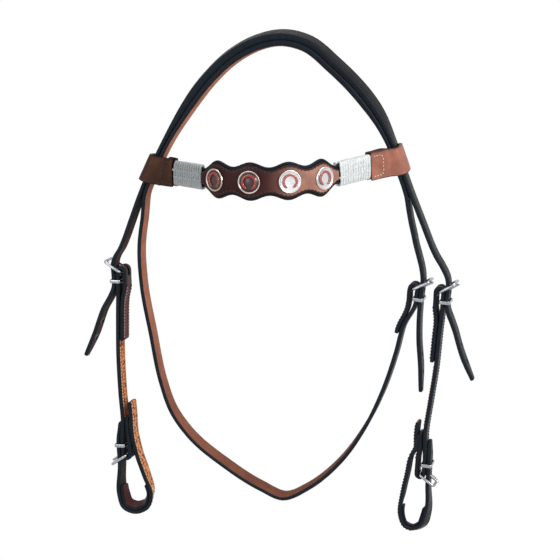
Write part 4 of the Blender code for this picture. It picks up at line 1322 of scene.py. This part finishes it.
def make_liner(side, route, widths, top):
    """A second ply inside the bottom of the bit loop, where the bit's ring bears."""
    inside, widths_in = [], []
    lift_in = (STRAP_THICK + LINER_THICK + PLY_GAP) / 2
    for point, along, width in zip(route, tangents(route), widths):
        if point.z <= top:
            normal = along.cross(width)
            if not inside and (normal.x > 0) != (side == "right"):
                lift_in = -lift_in
            inside.append(point + normal * lift_in)
            widths_in.append(width)
    liner = strap_lay(inside, widths_in, LINER_THICK + PLY_GAP, lambda walked: LINER_WIDTH,
                      math.copysign(1, lift_in))
    liner.piece(f"{side}_bit_liner_leather", leathers["liner"], "tan_leather", f"{side}_bit_liner",
                creased=False)


make_crown()
throat_sewing = make_throat()
for side in ("left", "right"):
    make_cheek(side)
    make_bit(side)
sew_throat(*throat_sewing)

# Browband: a scalloped base, a raised cover sewn to it, and the loops that the straps pass through
COVER_DOME = 0.0004
COVER_SEAM_IN = 0.0020
COVER_PITCH = 0.0040
COVER_THREAD = (0.0020, 0.00046, 1.9)  # length, radius and how wide its holes are
LACE_HALF = 0.00166
LACE_FLAT = 0.00105
STRAND_HALF = 0.0011
STRAND_FLAT = 0.00042
STRAND_UP = 0.0034
STRAND_PARTS = 6
STRAND_PROUD = BAND_THICK / 2 + FIT + LACE_WIRE + LACE_FLAT + STRAND_FLAT * 0.6
STRAND_DIP = LACE_FLAT * 1.8
STRAND_SWAY = STRAND_HALF * 0.3
LOOP_SEAM_IN = 0.0042
LOOP_SEAM_FROM = 0.0022
LOOP_SEAM_TO = 0.0165
LOOP_SEAM_CORNER = (0.0025, 0.0028)

band, band_walked, band_middle = band_core()
LOBES_HALF = LOBE_PITCH * MIDDLE + LOBE_END
lobes_from, lobes_to = band_middle - LOBES_HALF, band_middle + LOBES_HALF
lobes = resampled(band, band_walked, lobes_from, lobes_to, BAND_STEP / 3)


def make_base():
    first_end = resampled(band, band_walked, LAP_BARE, lobes_from, BAND_STEP * 2)
    last_end = resampled(band, band_walked, lobes_to, band_walked[-1] - LAP_BARE, BAND_STEP * 2)
    start = length_of(first_end) + LOBES_HALF
    base = band_lay(first_end + lobes[1:] + last_end[1:], BAND_THICK, lambda along: lobe_width(along - start))
    base.piece("browband_backing", leathers["base"], "backing_leather", "browband_base", creased=False)


def make_cover():
    lift_out = (BAND_THICK + COVER_THICK) / 2 + FIT
    line = [point + face * lift_out for point, (face, _) in zip(lobes, band_normals(lobes))]
    stretch = length_of(line) / (LOBES_HALF * 2)
    cover = band_lay(line, COVER_THICK,
                     lambda along: lobe_width(along / stretch - LOBES_HALF) - COVER_MARGIN * 2)
    cover.piece("browband_cover_leather", leathers["cover"], "brown_leather", "browband_cover", creased=False,
                dome=COVER_DOME)
    thread = Thread(*COVER_THREAD)
    for hand in (-1, 1):
        thread.row(cover, COVER_SEAM_IN, cover.total - COVER_SEAM_IN,
                   lambda along: hand * (cover.size(along) / 2 - COVER_SEAM_IN), 1, COVER_PITCH)
    thread.piece("browband_cover_stitches", threads["russet"], "brown_leather")


def make_rawhide(side, start, finish):
    """Rawhide wound round the band in flat turns, with two strands woven over and under them."""
    wound = resampled(band, band_walked, start + LACE_WIRE, start + LACE_LENGTH - LACE_WIRE, BAND_STEP / 2)
    last = len(wound) - 1
    cord = smooth(lace_points(wound), 2)
    cores = [between(wound, at / (len(cord) - 1) * last) for at in range(len(cord))]
    ups = [settle_turn @ (point - core) for point, core in zip(cord, cores)]
    line = [settle @ point for point in cord]
    turns = sweep(f"{side}_rawhide_turns", line, flat_section(LACE_HALF, LACE_FLAT), finish, ups)
    wear(turns, "rawhide", f"{side}_rawhide_lacing")
    normals = band_normals(wound)
    for row, hand in (("lower", -1), ("upper", 1)):
        strand, ups = [], []
        for at in range(LACE_LOOPS * STRAND_PARTS + 1):
            share = at / (LACE_LOOPS * STRAND_PARTS) * last
            face, up = normals[min(int(share), last - 1)]
            wave = math.cos(math.pi * at / STRAND_PARTS) * hand
            proud = face * (STRAND_PROUD + STRAND_DIP * min(wave, 0))
            drift = up * (hand * STRAND_UP + wave * STRAND_SWAY)
            strand.append(settle @ (between(wound, share) + proud + drift))
            ups.append(settle_turn @ face)
        section = flat_section(STRAND_HALF, STRAND_FLAT)
        wear(sweep(f"{side}_rawhide_{row}_strand", strand, section, finish, ups), "rawhide")


def make_loop(side, start, stop, thread_finish):
    """The loop that the crown and throat straps pass through, sewn over the band's end."""
    lap = resampled(band, band_walked, start, stop, LAP_STEP)
    if side == "right":
        lap.reverse()
    rope, widths = loop_route(side, lap)
    loop = strap_lay(rope, widths, LOOP_THICK, lambda walked: LOOP_WIDTH).grain_to(Vector((0, -1, 0)))
    loop.piece(f"{side}_browband_loop_leather", leathers[f"{side}_loop"], "brown_leather",
               f"{side}_browband_loop")
    reach = LOOP_WIDTH / 2 - LOOP_SEAM_IN
    upper = [(LOOP_SEAM_FROM, reach), (LOOP_SEAM_TO - LOOP_SEAM_CORNER[0], reach),
             (LOOP_SEAM_TO, reach - LOOP_SEAM_CORNER[1])]
    outline = [Vector(spot) for spot in upper + [(along, -across) for along, across in reversed(upper)]]
    spots = []
    for first, second in zip(outline, outline[1:]):
        parts = max(1, round((second - first).length / STITCH_PITCH))
        spots += [loop.at(*first.lerp(second, part / parts)) for part in range(parts)]
    spots.append(loop.at(*outline[-1]))
    thread = Thread()
    thread.path([(spot[0], spot[3]) for spot in spots])
    thread.piece(f"{side}_loop_stitches", thread_finish, "brown_leather")


make_base()
make_cover()
make_rawhide("left", lobes_from - LACE_LENGTH, plains["shaded_rawhide"])
make_rawhide("right", lobes_to, plains["lit_rawhide"])
# The left loop's dark thread and the right loop's pale thread are one stitching, in painted shade and painted
# light.
make_loop("left", 0, lobes_from - LACE_LENGTH - FIT, threads["dark"])
make_loop("right", lobes_to + LACE_LENGTH + FIT, band_walked[-1], threads["pale"])

# Conchos: silver discs with raised rims, enamelled horseshoes and slotted screws behind
DISC_SIDES = 72
RIM_ROUND = 0.00035
RIM_FROM = CONCHO_RADIUS - CONCHO_RIM * 1.5
SHADED_CONCHOS = 2  # the first conchos are shaded copies, with darker silver and a dark field of painted shade round a red horseshoe; the rest are lit copies
SHADE_FIELD_DEEP = 0.00008
ROUND_SHARE = 0.45  # of the way to the next corner, at most
SHOE_PARTS = 3
SHOE_SQUARE = 3
SHOE_ENDS = ((0.4, 0.78), (1, 0.95), (math.inf, 1))  # so many steps from an end, this share of the width
ENAMEL_SHARE = 0.92
ENAMEL_DEEP = 0.36
ENAMEL_UP = 0.84
ENAMEL_TRIM = 0.06
NAIL = (0.00026 * 2.4, 0.00026, 0.6)  # length, radius and flatness
NAIL_UP = 1.20
NAILS = (-0.62, -0.40, -0.20, 0.20, 0.40, 0.62)
SCREW_SIDES = 48
SCREW_ROUND = 0.00040
SCREW_SLOT = (SCREW_HEAD * 2.2, 0.0011, SCREW_HEAD_THICK)
SCREW_TURNS = (0.5, 0.9)  # of the first screw's slot, and from each screw to the next


def lathe(name, profile, matrix, finish, sides=DISC_SIDES):
    """A shape turned about the matrix's Z from a profile of radius and height; a zero radius closes it."""
    points, rings, faces = [], [], []
    for radius, height in profile:
        spots = round_section(radius, sides) if radius else [(0, 0)]
        rings.append([len(points) + step % len(spots) for step in range(sides)])
        points += [matrix @ Vector((*spot, height)) for spot in spots]
    for low, high in zip(rings, rings[1:]):
        for step in range(sides):
            after = (step + 1) % sides
            faces.append(tuple(dict.fromkeys((low[step], low[after], high[after], high[step]))))
    return mesh_piece(name, points, faces, [finish])


def rounded(profile, radius, parts=3):
    """The profile with its corners eased."""
    points = [Vector(spot) for spot in profile]
    soft = [points[0]]
    for before, here, after in zip(points, points[1:], points[2:]):
        reach = min(radius, (before - here).length * ROUND_SHARE, (after - here).length * ROUND_SHARE)
        start = here + (before - here).normalized() * reach
        stop = here + (after - here).normalized() * reach
        for part in range(parts + 1):
            t = part / parts
            soft.append(start * (1 - t) ** 2 + here * 2 * t * (1 - t) + stop * t ** 2)
    return [(max(spot.x, 0), spot.y) for spot in soft + [points[-1]]]


def ray(turn, radius=1, height=0):
    return Vector((radius * math.cos(turn), radius * math.sin(turn), height))


def make_disc(label, matrix, shaded):
    """The dished disc, and on the shaded conchos a dark field of painted shade inside its rim."""
    crest = CONCHO_DISH + CONCHO_RIM / 2
    rim_out = CONCHO_RADIUS - CONCHO_RIM / 3
    profile = rounded([
        (0, CONCHO_DISH), (RIM_FROM, CONCHO_DISH), (CONCHO_RADIUS - CONCHO_RIM, crest), (rim_out, crest),
        (CONCHO_RADIUS, CONCHO_DISH / 2), (rim_out, 0), (0, 0),
    ], RIM_ROUND)
    # Darker silver on the shaded conchos, and brighter silver as painted light on the lit ones.
    finish = metals["nickel_silver" if shaded else "lit_nickel"]
    wear(lathe(f"{label}_disc", profile, matrix, finish), "silver", label)
    if shaded:
        top = CONCHO_DISH + SHADE_FIELD_DEEP
        profile = [(0, top), (RIM_FROM, top), (RIM_FROM, CONCHO_DISH), (0, CONCHO_DISH)]
        wear(lathe(f"{label}_field", profile, matrix, plains["painted_shade_field"]), "red_enamel")


def make_horseshoe(name, matrix, half, tall, height, trim, finish):
    """A flat horseshoe, open at the bottom, its ends drawn in; it is centred at this height over the dish."""
    steps = SHOE_STEPS * SHOE_PARTS
    opening = SHOE_OPEN + trim
    line, halves = [], []
    for step in range(steps + 1):
        turn = -math.pi / 2 + opening + (2 * math.pi - opening * 2) * step / steps
        line.append(matrix @ ray(turn, SHOE_RADIUS, CONCHO_DISH + FIT + height))
        end = min(step, steps - step) / SHOE_PARTS
        halves.append(half * next(share for reach, share in SHOE_ENDS if end < reach))
    sections = [flat_section(half_there, tall, SHOE_SQUARE) for half_there in halves]
    return sweep(name, line, lambda at: sections[at], finish, matrix.col[2].xyz)


def make_nails(label, matrix):
    nails = Thread()
    for share in NAILS:
        turn = math.pi / 2 + share * math.pi
        spot = matrix @ ray(turn, SHOE_RADIUS, CONCHO_DISH + FIT + SHOE_RAISE * NAIL_UP)
        nails.bead(spot, matrix.to_3x3() @ ray(turn), matrix.col[2].xyz, *NAIL)
    nails.piece(f"{label}_nails", metals["nickel_silver"], "silver")


def make_screw(label, matrix, front, turn):
    """The screw from behind, with a slot in its head."""
    back = -BAND_THICK / 2 - FIT
    deep = back - SCREW_HEAD_THICK
    profile = rounded([(0, front), (SCREW_RADIUS, front), (SCREW_RADIUS, back), (SCREW_HEAD, back),
                       (SCREW_HEAD, deep), (0, deep)], SCREW_ROUND)
    screw = lathe(f"{label}_screw_steel", profile, settle @ matrix, bright_steel, SCREW_SIDES)
    slot_way = matrix @ Matrix.Rotation(turn, 4, "Z") @ Matrix.Translation((0, 0, deep))
    carve(screw, [cutter_box(slot_way, *SCREW_SLOT)])
    wear(screw, "steel", f"{label}_screw")


def make_concho(number_at):
    label = f"concho_{number_at + 1}"
    shaded = number_at < SHADED_CONCHOS
    where = band_middle + LOBE_PITCH * (number_at - MIDDLE)
    near = resampled(band, band_walked, where - BAND_STEP, where + BAND_STEP, BAND_STEP)
    face, up = band_normals(near)[1]
    under = resampled(band, band_walked, where - CONCHO_RADIUS, where + CONCHO_RADIUS, BAND_STEP)
    front = BAND_THICK / 2 + COVER_THICK + FIT + max(0, *[face.dot(point - near[1]) for point in under])
    matrix = settle @ facing_matrix(near[1] + face * (front + FIT), face, up)
    make_disc(label, matrix, shaded)
    border = make_horseshoe(f"{label}_horseshoe_border", matrix, SHOE_WIDTH / 2, SHOE_RAISE / 2,
                            SHOE_RAISE / 2, 0, metals["nickel_silver"])
    wear(border, "silver", f"{label}_horseshoe")
    # Red enamel on the shaded conchos; on the lit ones a paler enamel, as painted glare.
    enamel = make_horseshoe(f"{label}_horseshoe_enamel", matrix, SHOE_WIDTH / 2 * ENAMEL_SHARE,
                            SHOE_RAISE * ENAMEL_DEEP, SHOE_RAISE * ENAMEL_UP, ENAMEL_TRIM,
                            plains["red_enamel" if shaded else "glared_enamel"])
    wear(enamel, "red_enamel")
    make_nails(label, matrix)
    first, more = SCREW_TURNS
    make_screw(label, facing_matrix(near[1], face, up), front, first + number_at * more)


for number_at in range(CONCHOS):
    make_concho(number_at)

# Buckle frames, tongues and keepers of polished wire and strip
CORNER_PARTS = 8
WIRE_SIDES = 16
TONGUE_SIDES = 14
SHANK_SHARES = (0, 0.3, 0.6, 0.85, 0.94, 0.98, 1)
SHANK_SIZES = [1, 1, 1, 1, 0.92, 0.72, 0.40]
HOOK_SIZES = [0.55, 0.85]
HOOK_PARTS = 4
KEEPER_CORNER = 0.0016
KEEPER_SECTION = (KEEPER_BAND / 2, KEEPER_LENGTH / 2, 3.2, 20)  # half sizes, squareness and sides


def fine_outline(far, side, near, radius):
    """A rounded outline: far and side are its corners' middles, near is the lower corners' level."""
    points = []
    for quarter, (along, across) in enumerate(((far, side), (near, side), (near, -side), (far, -side))):
        for step in range(CORNER_PARTS + 1):
            turn = math.pi / 2 * (quarter + step / CORNER_PARTS)
            points.append((along + radius * math.cos(turn), across + radius * math.sin(turn)))
    return points


def buckle_axes(buckle):
    """The heel bar's middle, and the ways along the frame, up from it and across the strap."""
    up = buckle.out * math.cos(FRAME_TILT) + buckle.run * math.sin(FRAME_TILT)
    ways = (buckle.frame_way(), up, Vector((0, 1, 0)))
    return settle @ buckle.heel, *(settle_turn @ way for way in ways)


def make_frame(name, buckle):
    heel, way, up, depth = buckle_axes(buckle)
    outline = fine_outline(FRAME_LENGTH - FRAME_CORNER, FRAME_HALF - FRAME_CORNER, FRAME_CORNER, FRAME_CORNER)
    line = [heel + way * along + depth * across for along, across in outline]
    wire = sweep(f"{name}_frame_wire", line, round_section(WIRE, WIRE_SIDES), bright_steel, up, True)
    wear(wire, "steel", f"{name}_buckle_frame")


def make_tongue(name, buckle):
    """A straight wire over the frame's far bar, hooked round the heel bar."""
    heel, way, up, depth = buckle_axes(buckle)
    ring = WIRE + PIN_GAP + TONGUE_WIRE
    rise = up * (WIRE + FIT + TONGUE_WIRE)
    steps = range(HOOK_STEPS * HOOK_PARTS - HOOK_PARTS + 1)
    turns = [HOOK_FROM - HOOK_STEP * (HOOK_STEPS - step / HOOK_PARTS) for step in steps]
    hook = [heel + way * ring * math.cos(turn) + up * ring * math.sin(turn) for turn in turns]
    start = heel + way * ring + rise
    tip = heel + way * (FRAME_LENGTH + TONGUE_REACH) + rise
    line = hook + [start.lerp(tip, share) for share in SHANK_SHARES]
    sizes = HOOK_SIZES + [1] * (len(hook) - len(HOOK_SIZES)) + SHANK_SIZES
    wire = sweep(f"{name}_tongue_wire", line, lambda at: round_section(TONGUE_WIRE * sizes[at], TONGUE_SIDES),
                 bright_steel, depth)
    wear(wire, "steel", f"{name}_buckle_tongue", body=f"{name}_buckle_tongue")


def make_keeper(name, buckle):
    inner = HEEL_RADIUS - STRAP_THICK / 2 - KEEPER_GAP
    outer = BILLET_OUT + STRAP_THICK / 2 + KEEPER_GAP
    reach = STRAP_WIDTH / 2 + KEEPER_GAP + KEEPER_BAND / 2 - KEEPER_CORNER
    thick = (outer - inner) / 2 + KEEPER_BAND / 2 - KEEPER_CORNER
    matrix = settle @ buckle.matrix() @ Matrix.Translation(((inner + outer) / 2, 0, KEEPER_DROP))
    line = [matrix @ Vector((*spot, 0)) for spot in fine_outline(thick, reach, -thick, KEEPER_CORNER)]
    section = flat_section(*KEEPER_SECTION)
    keeper = sweep(f"{name}_keeper_strip", line, section, bright_steel, matrix.col[2].xyz, True)
    wear(keeper, "steel", f"{name}_keeper", body=f"{name}_keeper")


for name, buckle in buckles.items():
    make_frame(name, buckle)
    make_tongue(name, buckle)
    make_keeper(name, buckle)

# Room, light and camera
FLOOR_DROP = 0.76
FLOOR_REACH = 4.0
FLOOR_GREY = 0.80
AMBIENT = 0.42
CENTRE = Vector((-0.002, 0, -0.2447))
VIEW_UP = math.radians(12)
VIEW_AWAY = 1.6
LENS = 97.96
SENSOR = 36.0
LAMPS = (  # name, place, size, power and colour
    ("key", (1.3, -1.3, 0.5), 0.8, 26.0, (1, 1, 1)),
    ("fill", (-1.2, -1.4, 0.1), 1.0, 9.0, (0.88, 0.94, 1.0)),
    ("top", (0.1, 0.3, 1.3), 1.0, 12.0, (1, 1, 1)),
)


def seen(tree):
    """One for what the camera and reflections see, zero for the light that falls on the object."""
    rays = node(tree, "ShaderNodeLightPath").outputs
    shiny = number(tree, "MAXIMUM", rays["Is Glossy Ray"], rays["Is Transmission Ray"])
    return number(tree, "MAXIMUM", rays["Is Camera Ray"], shiny)


def seen_white(name, grey):
    """Pale to the object, and plain white to the camera and in reflections."""
    made, tree, shader = tree_of(name)
    tree.nodes.remove(shader)
    matt = node(tree, "ShaderNodeBsdfDiffuse", {"Color": (grey, grey, grey, 1)}).outputs[0]
    white = node(tree, "ShaderNodeEmission", {"Color": (1, 1, 1, 1), "Strength": 1.0}).outputs[0]
    both = node(tree, "ShaderNodeMixShader", {0: seen(tree), 1: matt, 2: white}).outputs[0]
    feed(tree.nodes["Material Output"], {"Surface": both})
    return made


def make_floor():
    mesh = bpy.data.meshes.new("floor")
    corners = [(across * FLOOR_REACH, along * FLOOR_REACH, -FLOOR_DROP) for across, along in CORNERS]
    mesh.from_pydata(corners, [], [range(len(corners))])
    mesh.materials.append(seen_white("floor_pale", FLOOR_GREY))
    shown("floor", mesh)


def make_world():
    world = bpy.data.worlds.new("studio")
    bpy.context.scene.world = world
    world.use_nodes = True
    tree = world.node_tree
    strength = number(tree, "MULTIPLY_ADD", seen(tree), 1.0 - AMBIENT, AMBIENT)
    feed(tree.nodes["Background"], {"Color": (1, 1, 1, 1), "Strength": strength})


def aimed(obj, place_at):
    obj.location = place_at
    obj.rotation_euler = (CENTRE - obj.location).to_track_quat("-Z", "Y").to_euler()


make_floor()
make_world()
for name, place_at, size, power, colour in LAMPS:
    light = bpy.data.lights.new(name, "AREA")
    light.shape = "DISK"
    light.size, light.energy, light.color = size, power, colour
    aimed(shown(name, light), place_at)

camera = shown("camera", bpy.data.cameras.new("camera"))
camera.data.sensor_width = SENSOR
camera.data.lens = LENS
aimed(camera, CENTRE + Vector((0, -math.cos(VIEW_UP), math.sin(VIEW_UP))) * VIEW_AWAY)
bpy.context.scene.camera = camera
bpy.context.scene.view_settings.view_transform = "Standard"
